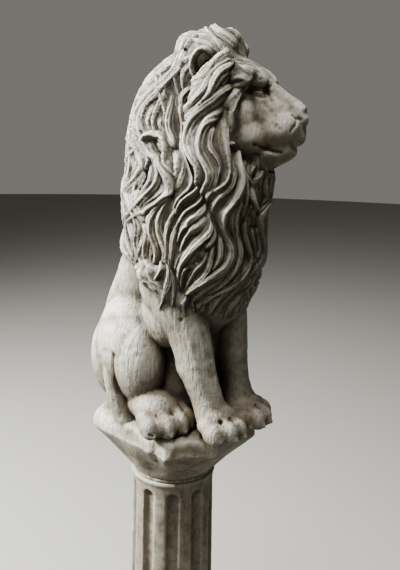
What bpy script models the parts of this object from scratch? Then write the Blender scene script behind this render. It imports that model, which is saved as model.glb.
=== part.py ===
"""A seated lion on its rocky base, cast as one stone, set in mortar on a fluted garden column."""

import math
import random

import bmesh
import bpy
import numpy as np
from mathutils import Matrix, Vector
from mathutils.bvhtree import BVHTree

# The column, in metres. The ground is z = 0 and the column's axis is x = y = 0.
FOOT_WIDTH = 0.250
FOOT_HEIGHT = 0.050
FOOT_BEVEL = 0.006
TORUS_RADIUS = 0.018
TORUS_OVERHANG = 0.004
FILLET_HEIGHT = 0.010
FILLET_OVERHANG = 0.005
COLUMN_HEIGHT = 0.700
SHAFT_FOOT_RADIUS = 0.088
SHAFT_TOP_RADIUS = 0.077
COLLAR_RADIUS = 0.081
COLLAR_HEIGHT = 0.009
COLLAR_ROUNDING = 0.002
COLLAR_FLARE = 0.024
FLUTE_COUNT = 10
FLUTE_WIDTH = 0.025
FLUTE_DEPTH = 0.009
FLUTE_TOP_MARGIN = 0.012
FLUTE_FOOT_MARGIN = 0.045
FLUTE_PHASE = math.radians(-47.0)
COLUMN_SIDES = 40

# The mortar bed between the collar and the lion's base, and the gap left at each of its faces.
MORTAR_RADIUS = 0.0765
MORTAR_THICKNESS = 0.008
MORTAR_ROUNDING = 0.002
JOINT_GAP = 0.0003

# The lion's rocky base: a slab with eight sides and eased edges that tapers to a round neck.
# Each corner is cut by so much along the way that its cut faces.
BASE_HEIGHT = 0.115
BASE_WIDTH = 0.236
BASE_BACK = 0.118
BASE_FRONT = 0.150
BASE_BACK_CUT = 0.023
BASE_FRONT_CUT = 0.041
BASE_BACK_CUT_TURN = math.radians(64.0)
BASE_FRONT_CUT_TURN = math.radians(48.0)
BASE_SLAB = 0.034
BASE_ROUNDING = 0.015
BASE_NECK_RADIUS = 0.079
BASE_SEGMENTS = 72

# The lion above its base. Its forms are written at one height and scaled as a whole to this one.
FIGURE_HEIGHT = 0.660
HEAD_TURN = math.radians(18.0)
HEAD_CENTRE = Vector((0.0, -0.085, 0.0))
BODY_VOXEL = 0.006
CARVED_VOXEL = 0.0040
LION_TRIANGLES = 6900

BASE_Z = COLUMN_HEIGHT + MORTAR_THICKNESS + 2 * JOINT_GAP
FIGURE_Z = BASE_Z + BASE_HEIGHT
SHAFT_Z = FOOT_HEIGHT + 2 * TORUS_RADIUS + FILLET_HEIGHT

# The mane under its locks: height above the base, centre towards the back, half width, half depth.
MANE_SECTIONS = (
    (0.150, -0.050, 0.024, 0.030),
    (0.185, -0.055, 0.044, 0.054),
    (0.215, -0.060, 0.067, 0.077),
    (0.245, -0.060, 0.082, 0.092),
    (0.285, -0.055, 0.092, 0.109),
    (0.335, -0.044, 0.100, 0.120),
    (0.385, -0.039, 0.104, 0.121),
    (0.435, -0.035, 0.102, 0.113),
    (0.485, -0.020, 0.095, 0.086),
    (0.535, -0.022, 0.086, 0.070),
    (0.562, -0.034, 0.072, 0.058),
    (0.590, -0.062, 0.053, 0.050),
    (0.622, -0.078, 0.049, 0.055),
    (0.642, -0.084, 0.030, 0.038),
)
# The ruff beside the face: ahead in the head, aside, height, half width, half thickness.
RUFF = (
    (0.030, 0.036, 0.604, 0.016, 0.018),
    (0.018, 0.056, 0.560, 0.022, 0.026),
    (0.018, 0.064, 0.510, 0.026, 0.030),
    (0.026, 0.062, 0.460, 0.030, 0.034),
    (0.034, 0.052, 0.410, 0.034, 0.034),
    (0.030, 0.044, 0.360, 0.030, 0.028),
    (0.020, 0.038, 0.310, 0.022, 0.020),
)
# The paws on the lion's left. An instep's stations are aside, back, height, half width and half
# thickness; a toe's sizes are its half width, half length and half height.
HIND_PAW = {
    "instep": (
        (0.078, 0.022, 0.024, 0.030, 0.026),
        (0.084, -0.012, 0.030, 0.039, 0.031),
        (0.090, -0.044, 0.026, 0.043, 0.030),
        (0.094, -0.070, 0.018, 0.041, 0.020),
    ),
    "toes": ((0.127, -0.060), (0.104, -0.078), (0.078, -0.085), (0.056, -0.078)),
    "toe": (0.0150, 0.0240, 0.0215),
    "height": 0.0175,
    "facing": math.radians(16.0),
}
FORE_PAW = {
    "instep": (
        (0.041, -0.112, 0.038, 0.027, 0.030),
        (0.038, -0.132, 0.030, 0.034, 0.027),
        (0.036, -0.152, 0.019, 0.038, 0.021),
    ),
    "toes": ((0.069, -0.151), (0.048, -0.167), (0.026, -0.168), (0.006, -0.154)),
    "toe": (0.0142, 0.0230, 0.0205),
    "height": 0.0160,
    "facing": math.radians(4.0),
}
FACE_TURN = -math.degrees(HEAD_TURN)
FACE_SPREAD = 44.0
LOCK_PROFILE = [(-1.0, -0.6), (1.0, -0.6), (0.92, 0.25), (0.55, 0.82), (0.0, 1.0), (-0.55, 0.82), (-0.92, 0.25)]
LOCK_WAVELENGTH = 0.115


def clear_scene():
    for old in list(bpy.data.objects):
        bpy.data.objects.remove(old)


def stone(name, colour, roughness):
    material = bpy.data.materials.new(name)
    material.use_nodes = True
    shader = material.node_tree.nodes["Principled BSDF"]
    shader.inputs["Base Color"].default_value = (*colour, 1.0)
    shader.inputs["Roughness"].default_value = roughness
    shader.inputs["Metallic"].default_value = 0.0
    return material


def put(name, mesh, collection, material):
    piece = bpy.data.objects.new(name, mesh)
    collection.objects.link(piece)
    mesh.materials.clear()
    mesh.materials.append(material)
    mesh.shade_smooth()
    mesh.set_sharp_from_angle(angle=math.radians(40.0))
    return piece


def mesh_of(bm, name):
    mesh = bpy.data.meshes.new(name)
    bm.to_mesh(mesh)
    bm.free()
    return mesh


def add_to(bm, part):
    """Copies the bmesh part into bm, with its faces outwards, and frees it."""
    bmesh.ops.recalc_face_normals(part, faces=part.faces)
    mesh = mesh_of(part, "step")
    bm.from_mesh(mesh)
    bpy.data.meshes.remove(mesh)


def evaluated(piece):
    """The piece's mesh with its modifiers applied. The piece is removed."""
    graph = bpy.context.evaluated_depsgraph_get()
    mesh = bpy.data.meshes.new_from_object(piece.evaluated_get(graph))
    bpy.data.objects.remove(piece)
    return mesh


def remeshed(bm, voxel, smoothing):
    """One closed skin round everything in bm, smoothed a little."""
    piece = bpy.data.objects.new("skin", mesh_of(bm, "skin"))
    bpy.context.scene.collection.objects.link(piece)
    skin = piece.modifiers.new("skin", "REMESH")
    skin.mode = "VOXEL"
    skin.voxel_size = voxel
    ease = piece.modifiers.new("ease", "SMOOTH")
    ease.iterations = smoothing
    ease.factor = 0.5
    return evaluated(piece)


def thinned(mesh, triangles):
    """The mesh with its triangles reduced to a number."""
    piece = bpy.data.objects.new("thinned", mesh)
    bpy.context.scene.collection.objects.link(piece)
    thin = piece.modifiers.new("thin", "DECIMATE")
    thin.ratio = min(1.0, triangles / (2 * len(mesh.polygons)))
    return evaluated(piece)


def smoothly(points, steps):
    """Catmull-Rom through tuples of numbers, with a number of steps to each span."""
    ends = [points[0], *points, points[-1]]
    made = []
    for i in range(1, len(ends) - 2):
        for k in range(steps):
            t = k / steps
            made.append(tuple(
                0.5 * (2 * b + (c - a) * t + (2 * a - 5 * b + 4 * c - d) * t * t
                       + (3 * b - a - 3 * c + d) * t ** 3)
                for a, b, c, d in zip(*ends[i - 1:i + 3])
            ))
    made.append(tuple(points[-1]))
    return made


def frame_at(place, along, side, wide, high):
    """A matrix that stands the profile's plane across the direction along."""
    z = along.normalized()
    x = (side - side.dot(z) * z).normalized()
    y = z.cross(x)
    turn = Matrix((x, y, z)).transposed().to_4x4()
    return Matrix.Translation(place) @ turn @ Matrix.Diagonal((wide, high, 1.0, 1.0))


def sweep(bm, profile, frames):
    """Draws the profile, points in a plane, through the frames and closes both ends."""
    part = bmesh.new()
    ring = [part.verts.new(frames[0] @ Vector((x, y, 0.0))) for x, y in profile]
    loop = [part.edges.new((ring[i - 1], ring[i])) for i in range(len(ring))]
    part.faces.new(ring)
    for before, after in zip(frames, frames[1:]):
        made = bmesh.ops.extrude_edge_only(part, edges=loop)["geom"]
        verts = {e for e in made if isinstance(e, bmesh.types.BMVert)}
        loop = [e for e in made if isinstance(e, bmesh.types.BMEdge) and verts.issuperset(e.verts)]
        bmesh.ops.transform(part, matrix=after @ before.inverted(), verts=list(verts))
    bmesh.ops.contextual_create(part, geom=loop)
    add_to(bm, part)


def limb(bm, stations, sides=14, steps=4, across=Vector((1.0, 0.0, 0.0))):
    """A limb through stations (x, y, z, half width, half thickness), its width along across."""
    path = smoothly(stations, steps)
    circle = [(math.cos(math.tau * i / sides), math.sin(math.tau * i / sides)) for i in range(sides)]
    frames = []
    for i, (x, y, z, wide, high) in enumerate(path):
        ahead = Vector(path[min(i + 1, len(path) - 1)][:3])
        behind = Vector(path[max(i - 1, 0)][:3])
        frames.append(frame_at(Vector((x, y, z)), ahead - behind, across, wide, high))
    sweep(bm, circle, frames)


def lump(bm, centre, radii, turn=0.0, lean=0.0):
    """An ellipsoid, leaned about x and then turned about z."""
    part = bmesh.new()
    bmesh.ops.create_uvsphere(part, u_segments=18, v_segments=12, radius=1.0)
    place = (Matrix.Translation(Vector(centre)) @ Matrix.Rotation(turn, 4, "Z")
             @ Matrix.Rotation(lean, 4, "X") @ Matrix.Diagonal((*radii, 1.0)))
    bmesh.ops.transform(part, matrix=place, verts=part.verts)
    add_to(bm, part)


def scored(mesh, strokes):
    """Presses strokes (points, width, depth) into the mesh. A negative depth raises a ridge."""
    count = len(mesh.vertices)
    places = np.empty(count * 3)
    normals = np.empty(count * 3)
    mesh.vertices.foreach_get("co", places)
    mesh.vertex_normals.foreach_get("vector", normals)
    places = places.reshape(count, 3)
    normals = normals.reshape(count, 3)
    moves = np.zeros(count)
    for points, width, depth in strokes:
        path = np.array(smoothly(points, 8))
        near = np.full(count, 1.0)
        for point in path:
            near = np.minimum(near, ((places - point) ** 2).sum(axis=1))
        moves += depth * np.exp(-near / width ** 2)
    mesh.vertices.foreach_set("co", (places - normals * moves[:, None]).ravel())
    mesh.update()


def torso(bm):
    limb(bm, [
        (0, 0.092, 0.004, 0.062, 0.052),
        (0, 0.096, 0.085, 0.078, 0.068),
        (0, 0.080, 0.165, 0.079, 0.073),
        (0, 0.055, 0.225, 0.076, 0.071),
        (0, 0.022, 0.285, 0.080, 0.076),
        (0, -0.015, 0.345, 0.084, 0.080),
        (0, -0.030, 0.400, 0.078, 0.078),
    ], sides=20)
    # The stone left standing between the forelegs and under the belly.
    limb(bm, [
        (0, -0.076, -0.008, 0.040, 0.026),
        (0, -0.066, 0.070, 0.040, 0.026),
        (0, -0.056, 0.150, 0.048, 0.034),
        (0, -0.048, 0.230, 0.060, 0.054),
    ])
    lump(bm, (0, -0.004, 0.040), (0.066, 0.075, 0.110))
    lump(bm, (0, 0.020, 0.150), (0.070, 0.070, 0.095))


def hind_leg(bm, side):
    # The thigh, the rump behind it, and the folded shank that shows between them.
    lump(bm, (side * 0.080, 0.014, 0.112), (0.046, 0.052, 0.086), turn=side * 0.10, lean=-0.10)
    lump(bm, (side * 0.062, 0.080, 0.094), (0.054, 0.058, 0.088))
    lump(bm, (side * 0.078, 0.050, 0.150), (0.040, 0.050, 0.050))
    limb(bm, [
        (side * 0.110, 0.052, 0.108, 0.008, 0.010),
        (side * 0.118, 0.048, 0.084, 0.012, 0.013),
        (side * 0.116, 0.042, 0.050, 0.015, 0.015),
        (side * 0.108, 0.030, 0.018, 0.022, 0.018),
    ], sides=10)
    paw(bm, side, **HIND_PAW)


def fore_leg(bm, side):
    lump(bm, (side * 0.066, -0.032, 0.245), (0.044, 0.056, 0.085))
    limb(bm, [
        (side * 0.064, -0.034, 0.280, 0.048, 0.050),
        (side * 0.060, -0.058, 0.220, 0.042, 0.045),
        (side * 0.052, -0.079, 0.172, 0.034, 0.039),
        (side * 0.045, -0.096, 0.105, 0.029, 0.033),
        (side * 0.040, -0.112, 0.062, 0.027, 0.028),
        (side * 0.040, -0.126, 0.032, 0.031, 0.027),
    ])
    lump(bm, (side * 0.046, -0.088, 0.118), (0.030, 0.034, 0.040))
    paw(bm, side, **FORE_PAW)


def paw(bm, side, instep, toes, toe, height, facing):
    """A paw drawn from the leg forward, with four toes that fan out side by side."""
    turn = facing * side
    ahead = Vector((math.sin(turn), -math.cos(turn), 0.0))
    across = Vector((math.cos(turn), math.sin(turn), 0.0))
    limb(bm, [(side * x, *rest) for x, *rest in instep], sides=12, across=across)
    wide, long, high = toe
    for number, (x, y) in enumerate(toes):
        fan = turn + side * math.radians(9 - 6 * number)
        centre = Vector((side * x, y, height))
        knuckle = centre - ahead * long * 0.75 + Vector((0, 0, high * 0.42))
        lump(bm, centre, toe, fan)
        lump(bm, knuckle, (wide * 0.80, long * 0.95, high * 0.72), fan, -0.35)


def tail(bm):
    """The tail lies along the base, round the lion's left haunch."""
    limb(bm, [
        (0.010, 0.114, 0.050, 0.018, 0.022),
        (0.046, 0.110, 0.018, 0.015, 0.018),
        (0.080, 0.096, 0.008, 0.013, 0.014),
        (0.102, 0.070, 0.006, 0.012, 0.013),
        (0.108, 0.036, 0.007, 0.013, 0.014),
        (0.109, 0.004, 0.008, 0.017, 0.016),
        (0.108, -0.022, 0.006, 0.010, 0.012),
    ], sides=10)


def head_point(ahead, right, height):
    """A point in the turned head: ahead of its centre, to the lion's right, and above the base."""
    forward = Vector((math.sin(HEAD_TURN), -math.cos(HEAD_TURN), 0.0))
    aside = Vector((-math.cos(HEAD_TURN), -math.sin(HEAD_TURN), 0.0))
    return HEAD_CENTRE + forward * ahead + aside * right + Vector((0.0, 0.0, height))


def head_lump(bm, ahead, right, height, radii, lean=0.0):
    """An ellipsoid in the head. Its radii run to the side, ahead and up."""
    lump(bm, head_point(ahead, right, height), radii, HEAD_TURN, lean)


def head_limb(bm, stations, sides=12):
    """A limb in the head, its stations (ahead, right, height, half width, half thickness)."""
    across = head_point(0.0, 1.0, 0.0) - head_point(0.0, 0.0, 0.0)
    limb(bm, [(*head_point(a, r, h), w, t) for a, r, h, w, t in stations], sides, 4, across)


def head(bm):
    head_lump(bm, 0.016, 0.0, 0.553, (0.050, 0.066, 0.062))
    # The muzzle, the bridge of the nose with its pad, and the lower jaw.
    head_limb(bm, [
        (0.030, 0, 0.532, 0.046, 0.048),
        (0.070, 0, 0.525, 0.036, 0.042),
        (0.100, 0, 0.514, 0.030, 0.035),
        (0.124, 0, 0.508, 0.022, 0.026),
    ])
    head_limb(bm, [
        (0.062, 0, 0.580, 0.020, 0.014),
        (0.088, 0, 0.563, 0.016, 0.014),
        (0.110, 0, 0.545, 0.015, 0.014),
        (0.130, 0, 0.528, 0.016, 0.014),
    ])
    head_lump(bm, 0.134, 0, 0.519, (0.018, 0.014, 0.015), -0.4)
    head_limb(bm, [
        (0.010, 0, 0.480, 0.040, 0.034),
        (0.050, 0, 0.471, 0.039, 0.030),
        (0.085, 0, 0.469, 0.034, 0.024),
        (0.112, 0, 0.475, 0.028, 0.019),
        (0.128, 0, 0.482, 0.021, 0.014),
    ])
    # The throat and the beard's mass.
    head_limb(bm, [
        (0.056, 0, 0.474, 0.034, 0.034),
        (0.046, 0, 0.436, 0.042, 0.043),
        (0.034, 0, 0.390, 0.048, 0.050),
        (0.020, 0, 0.340, 0.044, 0.046),
    ])
    for side in (-1, 1):
        head_lump(bm, 0.040, side * 0.034, 0.520, (0.026, 0.038, 0.046))
        head_lump(bm, 0.108, side * 0.017, 0.502, (0.019, 0.033, 0.024), -0.35)
        head_lump(bm, 0.070, side * 0.030, 0.561, (0.010, 0.011, 0.010))
        # The brow that runs up into the forehead, and the cheekbone under the eye.
        head_limb(bm, [
            (0.012, side * 0.022, 0.606, 0.022, 0.020),
            (0.044, side * 0.026, 0.597, 0.021, 0.019),
            (0.070, side * 0.026, 0.583, 0.019, 0.018),
            (0.086, side * 0.023, 0.571, 0.011, 0.011),
        ])
        head_limb(bm, [
            (0.102, side * 0.014, 0.541, 0.009, 0.009),
            (0.078, side * 0.034, 0.541, 0.010, 0.009),
            (0.052, side * 0.047, 0.545, 0.010, 0.009),
        ])


def carving():
    """The strokes cut into the finished figure: mouth, lips, creases of the thigh and the belly."""
    strokes = []
    for side in (-1, 1):
        mouth = [(0.066, 0.036, 0.486), (0.084, 0.033, 0.482), (0.108, 0.026, 0.482), (0.134, 0.008, 0.490)]
        strokes.append(([tuple(head_point(a, side * r, h)) for a, r, h in mouth], 0.0045, 0.005))
        strokes.append(([(side * 0.110, 0.060, 0.128), (side * 0.124, 0.062, 0.106), (side * 0.122, 0.064, 0.060),
                         (side * 0.112, 0.054, 0.020)], 0.005, 0.007))
        strokes.append(([(side * 0.124, 0.024, 0.090), (side * 0.126, 0.022, 0.050),
                         (side * 0.120, 0.006, 0.020)], 0.004, 0.005))
        strokes.append(([(side * 0.080, 0.074, 0.200), (side * 0.095, 0.030, 0.200),
                         (side * 0.088, -0.020, 0.184)], 0.006, 0.006))
    return strokes


def mane_core(bm):
    limb(bm, [(0, back, height, wide, deep) for height, back, wide, deep in MANE_SECTIONS], sides=28, steps=3)
    for side in (-1, 1):
        head_limb(bm, [(ahead, side * aside, *rest) for ahead, aside, *rest in RUFF])


def mane_section(height):
    """The centre, half width and half depth of the mane under its locks at a height."""
    if height <= MANE_SECTIONS[0][0]:
        return MANE_SECTIONS[0][1:]
    for low, high in zip(MANE_SECTIONS, MANE_SECTIONS[1:]):
        if height <= high[0]:
            t = (height - low[0]) / (high[0] - low[0])
            return tuple(a + (b - a) * t for a, b in zip(low[1:], high[1:]))
    return MANE_SECTIONS[-1][1:]


def mane_point(height, angle):
    """A point just outside the mane, at a height and an angle from the chest to the lion's right."""
    back, wide, deep = mane_section(height)
    angle = math.radians(angle)
    return Vector((-1.06 * wide * math.sin(angle), back - 1.06 * deep * math.cos(angle), height))


def lock(bm, tree, guide, half_width, thickness, wave, phase):
    """A lock of hair laid along the guide on the surface in tree, waving from side to side."""
    laid = [tree.find_nearest(point)[:2] for point in guide]
    run = 0.0
    places = []
    for i, (place, normal) in enumerate(laid):
        ahead = laid[min(i + 1, len(laid) - 1)][0] - laid[max(i - 1, 0)][0]
        if i:
            run += (place - laid[i - 1][0]).length
        aside = normal.cross(ahead).normalized()
        swing = wave * math.sin(math.tau * run / LOCK_WAVELENGTH + phase)
        places.append(tree.find_nearest(place + aside * swing)[:2])
    frames = []
    for i, (place, normal) in enumerate(places):
        share = i / (len(places) - 1)
        body = max(0.15, math.sin(math.pi * (0.18 + 0.82 * share)) ** 0.6)
        ahead = places[min(i + 1, len(places) - 1)][0] - places[max(i - 1, 0)][0]
        aside = normal.cross(ahead).normalized()
        lift = thickness * (0.05 + 0.35 * share)
        frames.append(frame_at(place + normal * lift, ahead, aside, half_width * body,
                               thickness * (0.4 + 0.6 * body)))
    sweep(bm, LOCK_PROFILE, frames)


def mane_locks(bm, tree):
    """The mane's locks: over the crown, back from the face, and down the neck and chest in tiers."""
    chance = random.Random(7)

    def tier(top, bottom, start, end, count, half_width, thickness, drift):
        """Locks between two shares of the way up from the hem to the crown, side by side."""
        for i in range(count):
            angle = start + (end - start) * (i + 0.5) / count
            to_side = 1.0 if (angle - FACE_TURN) % 360 < 180 else -1.0
            swing = to_side * drift * (0.7 + 0.6 * chance.random())
            hem = 0.200 + 0.050 * (1 - math.cos(math.radians(angle + swing)))
            high = hem + (0.648 - hem) * top + 0.016 * (chance.random() - 0.5)
            low = hem + (0.648 - hem) * bottom + 0.030 * (chance.random() - 0.5)
            guide = [mane_point(high + (low - high) * t, angle + swing * t ** 1.3)
                     for t in [k / 17 for k in range(18)]]
            lock(bm, tree, guide, half_width, thickness, 0.012, math.radians(1.6 * angle) + 16.0 * top)

    face_start = FACE_TURN + FACE_SPREAD
    face_end = FACE_TURN + 360 - FACE_SPREAD
    tier(0.32, -0.10, -180, 180, 19, 0.0150, 0.014, 10)
    tier(0.54, 0.14, -189, 171, 20, 0.0150, 0.016, 14)
    tier(0.76, 0.38, face_start - 24, face_end + 24, 15, 0.0140, 0.016, 18)
    tier(0.94, 0.60, face_start, face_end, 12, 0.0125, 0.016, 22)
    # Locks that frame the face, from the hairline back and then down.
    for side in (-1, 1):
        for i in range(6):
            root = 0.602 - 0.024 * i
            guide = smoothly([
                tuple(head_point(0.042 - 0.002 * i, side * 0.046, root)),
                tuple(head_point(0.016, side * 0.064, root + 0.002)),
                tuple(head_point(-0.010, side * 0.080, root - 0.030)),
                tuple(head_point(-0.016, side * 0.092, root - 0.080)),
                tuple(head_point(-0.004, side * 0.098, root - 0.130)),
            ], 5)
            lock(bm, tree, [Vector(point) for point in guide], 0.011, 0.014, 0.005, 0.9 * i)
    # Locks that start over the brow, go over the crown and fall down the back of the head.
    for i in range(7):
        guide = []
        for k in range(20):
            turn = math.radians(26 + 156 * k / 19)
            spread = (i - 3) * (0.014 + 0.012 * k / 19)
            guide.append(head_point(-0.008 + 0.080 * math.cos(turn), spread, 0.550 + 0.105 * math.sin(turn)))
        lock(bm, tree, guide, 0.0095, 0.012, 0.005, 0.8 * i)


def base_sides():
    """The plan's eight sides: the way that each one faces, and its distance from the column's axis."""
    half = BASE_WIDTH / 2
    sides = [(0.0, half), (math.pi, half), (math.pi / 2, BASE_BACK), (-math.pi / 2, BASE_FRONT)]
    for turn, deep, cut in ((BASE_BACK_CUT_TURN, BASE_BACK, BASE_BACK_CUT),
                            (-BASE_FRONT_CUT_TURN, BASE_FRONT, BASE_FRONT_CUT)):
        distance = half * math.cos(turn) + deep * abs(math.sin(turn)) - cut
        sides += [(turn, distance), (math.pi - turn, distance)]
    return sides


def base_reach(angle, level):
    """The base's radius at an angle and a height below the figure: eight-sided above, round at the neck."""
    plan = min(distance / math.cos(angle - way) for way, distance in base_sides() if math.cos(angle - way) > 0.1)
    if level >= -BASE_SLAB:
        sunk = max(0.0, BASE_ROUNDING + level)
        return plan - BASE_ROUNDING + math.sqrt(BASE_ROUNDING ** 2 - sunk ** 2)
    share = min(1.0, max(0.0, (level + BASE_HEIGHT) / (BASE_HEIGHT - BASE_SLAB)))
    return BASE_NECK_RADIUS + (plan - BASE_NECK_RADIUS) * share ** 0.85


def rocky_base(bm):
    """The slab under the paws and its taper, carried a little below the plane where it is cut off."""
    part = bmesh.new()
    ring = bmesh.ops.create_circle(part, segments=BASE_SEGMENTS, radius=1.0, cap_ends=True)["verts"]
    taper = [-BASE_HEIGHT + (BASE_HEIGHT - BASE_SLAB) * k / 5 for k in range(6)]
    easing = [-BASE_ROUNDING * share for share in (1.0, 0.7, 0.4, 0.15, 0.0)]
    for number, level in enumerate([-1.1 * BASE_HEIGHT, *taper, *easing]):
        edges = [e for e in part.edges if e.verts[0] in ring and e.verts[1] in ring]
        if number:
            made = bmesh.ops.extrude_edge_only(part, edges=edges)["geom"]
            ring = [v for v in made if isinstance(v, bmesh.types.BMVert)]
        for vert in ring:
            angle = math.atan2(vert.co.y, vert.co.x)
            reach = base_reach(angle, level)
            vert.co = (reach * math.cos(angle), reach * math.sin(angle), level)
    edges = [e for e in part.edges if e.verts[0] in ring and e.verts[1] in ring]
    bmesh.ops.contextual_create(part, geom=edges)
    add_to(bm, part)


def carved_lion():
    """The lion and its base as one mesh, in a frame whose zero height is under the paws."""
    body = bmesh.new()
    torso(body)
    for side in (-1, 1):
        hind_leg(body, side)
        fore_leg(body, side)
    tail(body)
    head(body)
    mane_core(body)
    solid = remeshed(body, BODY_VOXEL, 5)
    tree = BVHTree.FromPolygons([v.co.copy() for v in solid.vertices],
                                [tuple(p.vertices) for p in solid.polygons])
    figure = bmesh.new()
    figure.from_mesh(solid)
    for side in (-1, 1):
        hind_leg(figure, side)
        fore_leg(figure, side)
    mane_locks(figure, tree)
    figure_mesh = remeshed(figure, CARVED_VOXEL, 1)
    scored(figure_mesh, carving())
    whole = bmesh.new()
    whole.from_mesh(figure_mesh)
    scale = FIGURE_HEIGHT / max(vert.co.z for vert in whole.verts)
    bmesh.ops.scale(whole, vec=(scale, scale, scale), verts=whole.verts)
    rocky_base(whole)
    return remeshed(whole, CARVED_VOXEL * scale, 1)


def lion(collection, material):
    bm = bmesh.new()
    bm.from_mesh(thinned(carved_lion(), LION_TRIANGLES))
    cut = bmesh.ops.bisect_plane(
        bm, geom=[*bm.verts, *bm.edges, *bm.faces], dist=1e-6,
        plane_co=(0, 0, -BASE_HEIGHT), plane_no=(0, 0, 1), clear_inner=True)["geom_cut"]
    bmesh.ops.contextual_create(bm, geom=cut)
    piece = put("lion_on_rocky_base", mesh_of(bm, "lion_on_rocky_base"), collection, material)
    piece.location.z = FIGURE_Z
    return piece


def turned(name, profile, sides):
    """A solid of revolution from (radius, height) points, from the top down."""
    bm = bmesh.new()
    verts = [bm.verts.new((radius, 0.0, height)) for radius, height in profile]
    edges = [bm.edges.new(pair) for pair in zip(verts, verts[1:])]
    bmesh.ops.spin(bm, geom=[*verts, *edges], cent=(0, 0, 0), axis=(0, 0, 1),
                   angle=math.tau, steps=sides, use_merge=True)
    bmesh.ops.remove_doubles(bm, verts=bm.verts, dist=1e-5)
    bmesh.ops.recalc_face_normals(bm, faces=bm.faces)
    return mesh_of(bm, name)


def shaft_radius(height):
    """The shaft's radius at a height, without its flare."""
    share = (height - SHAFT_Z) / (COLUMN_HEIGHT - SHAFT_Z)
    return SHAFT_FOOT_RADIUS + (SHAFT_TOP_RADIUS - SHAFT_FOOT_RADIUS) * share


def column_profile():
    """The column's outline from the axis at its top, down to the axis inside its foot block."""
    collar_z = COLUMN_HEIGHT - COLLAR_HEIGHT
    collar_edge = COLLAR_RADIUS - COLLAR_ROUNDING
    outline = [
        (0.0, COLUMN_HEIGHT),
        (collar_edge, COLUMN_HEIGHT),
        (COLLAR_RADIUS, COLUMN_HEIGHT - COLLAR_ROUNDING),
        (COLLAR_RADIUS, collar_z + COLLAR_ROUNDING),
        (collar_edge, collar_z),
    ]
    flare = 0.7 * (collar_edge - shaft_radius(collar_z))
    for k in range(1, 5):
        t = k / 4
        height = collar_z - COLLAR_FLARE * t
        outline.append((shaft_radius(height) + flare * (1 - t) ** 2, height))
    fillet = SHAFT_FOOT_RADIUS + FILLET_OVERHANG
    outline += [(SHAFT_FOOT_RADIUS, SHAFT_Z), (fillet, SHAFT_Z), (fillet, SHAFT_Z - FILLET_HEIGHT)]
    for k in range(9):
        turn = math.pi * (0.5 - k / 8)
        outline.append((SHAFT_FOOT_RADIUS + TORUS_OVERHANG + TORUS_RADIUS * math.cos(turn),
                        FOOT_HEIGHT + TORUS_RADIUS * (1 + math.sin(turn))))
    buried = FOOT_HEIGHT - FOOT_BEVEL / 2
    outline += [(SHAFT_FOOT_RADIUS, buried), (0.0, buried)]
    return outline


def flute_cutters():
    """The round-ended flutes, as one cutter mesh sunk into the shaft."""
    bm = bmesh.new()
    low = SHAFT_Z + FLUTE_FOOT_MARGIN
    high = COLUMN_HEIGHT - COLLAR_HEIGHT - FLUTE_TOP_MARGIN
    half = FLUTE_WIDTH / 2
    radius = (half ** 2 + FLUTE_DEPTH ** 2) / (2 * FLUTE_DEPTH)
    for number in range(FLUTE_COUNT):
        turn = Matrix.Rotation(FLUTE_PHASE + math.tau * number / FLUTE_COUNT, 4, "Z")
        part = bmesh.new()
        bmesh.ops.create_uvsphere(part, u_segments=12, v_segments=7, radius=radius)
        for way, end in ((1, high), (-1, low)):
            verts = [v for v in part.verts if v.co.z * way > 0]
            out = shaft_radius(end) + radius - FLUTE_DEPTH
            place = Matrix.Translation((0, -out, end - way * half)) @ Matrix.Diagonal((1, 1, half / radius, 1))
            bmesh.ops.transform(part, matrix=turn @ place, verts=verts)
        add_to(bm, part)
    return mesh_of(bm, "flutes")


def foot_block():
    """The square block under the column, with eased edges."""
    bm = bmesh.new()
    bmesh.ops.create_cube(bm, size=1.0)
    bmesh.ops.scale(bm, vec=(FOOT_WIDTH, FOOT_WIDTH, FOOT_HEIGHT), verts=bm.verts)
    bmesh.ops.translate(bm, vec=(0, 0, FOOT_HEIGHT / 2), verts=bm.verts)
    bmesh.ops.bevel(bm, geom=bm.edges[:], offset=FOOT_BEVEL, segments=2, profile=0.5,
                    affect="EDGES", material=-1)
    return mesh_of(bm, "foot_block")


def column(collection, cutters, material):
    piece = put("fluted_column", turned("fluted_column", column_profile(), COLUMN_SIDES), collection, material)
    for mesh, operation in ((foot_block(), "UNION"), (flute_cutters(), "DIFFERENCE")):
        tool = bpy.data.objects.new(mesh.name, mesh)
        cutters.objects.link(tool)
        tool.hide_render = True
        tool.display_type = "WIRE"
        step = piece.modifiers.new(mesh.name, "BOOLEAN")
        step.operation = operation
        step.object = tool
    return piece


def mortar_bed(collection, material):
    """The bed of mortar on the collar, with a rounded rim."""
    low = COLUMN_HEIGHT + JOINT_GAP
    high = low + MORTAR_THICKNESS
    outline = [(0.0, high), (MORTAR_RADIUS - MORTAR_ROUNDING, high), (MORTAR_RADIUS, (low + high) / 2),
               (MORTAR_RADIUS - MORTAR_ROUNDING, low), (0.0, low)]
    return put("mortar_bed", turned("mortar_bed", outline, COLUMN_SIDES), collection, material)


def main():
    clear_scene()
    collection = bpy.data.collections.new("lion_statue_on_column")
    cutters = bpy.data.collections.new("cutters")
    for made in (collection, cutters):
        bpy.context.scene.collection.children.link(made)
    lion(collection, stone("weathered_cast_stone", (0.42, 0.39, 0.33), 0.85))
    mortar_bed(collection, stone("old_mortar", (0.16, 0.15, 0.12), 0.95))
    column(collection, cutters, stone("column_cast_stone", (0.46, 0.42, 0.35), 0.85))


main()
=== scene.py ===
import math
import random

import bmesh
import bpy
import numpy as np
from mathutils import Matrix, Vector, noise
from mathutils.bvhtree import BVHTree
from mathutils.kdtree import KDTree


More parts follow.
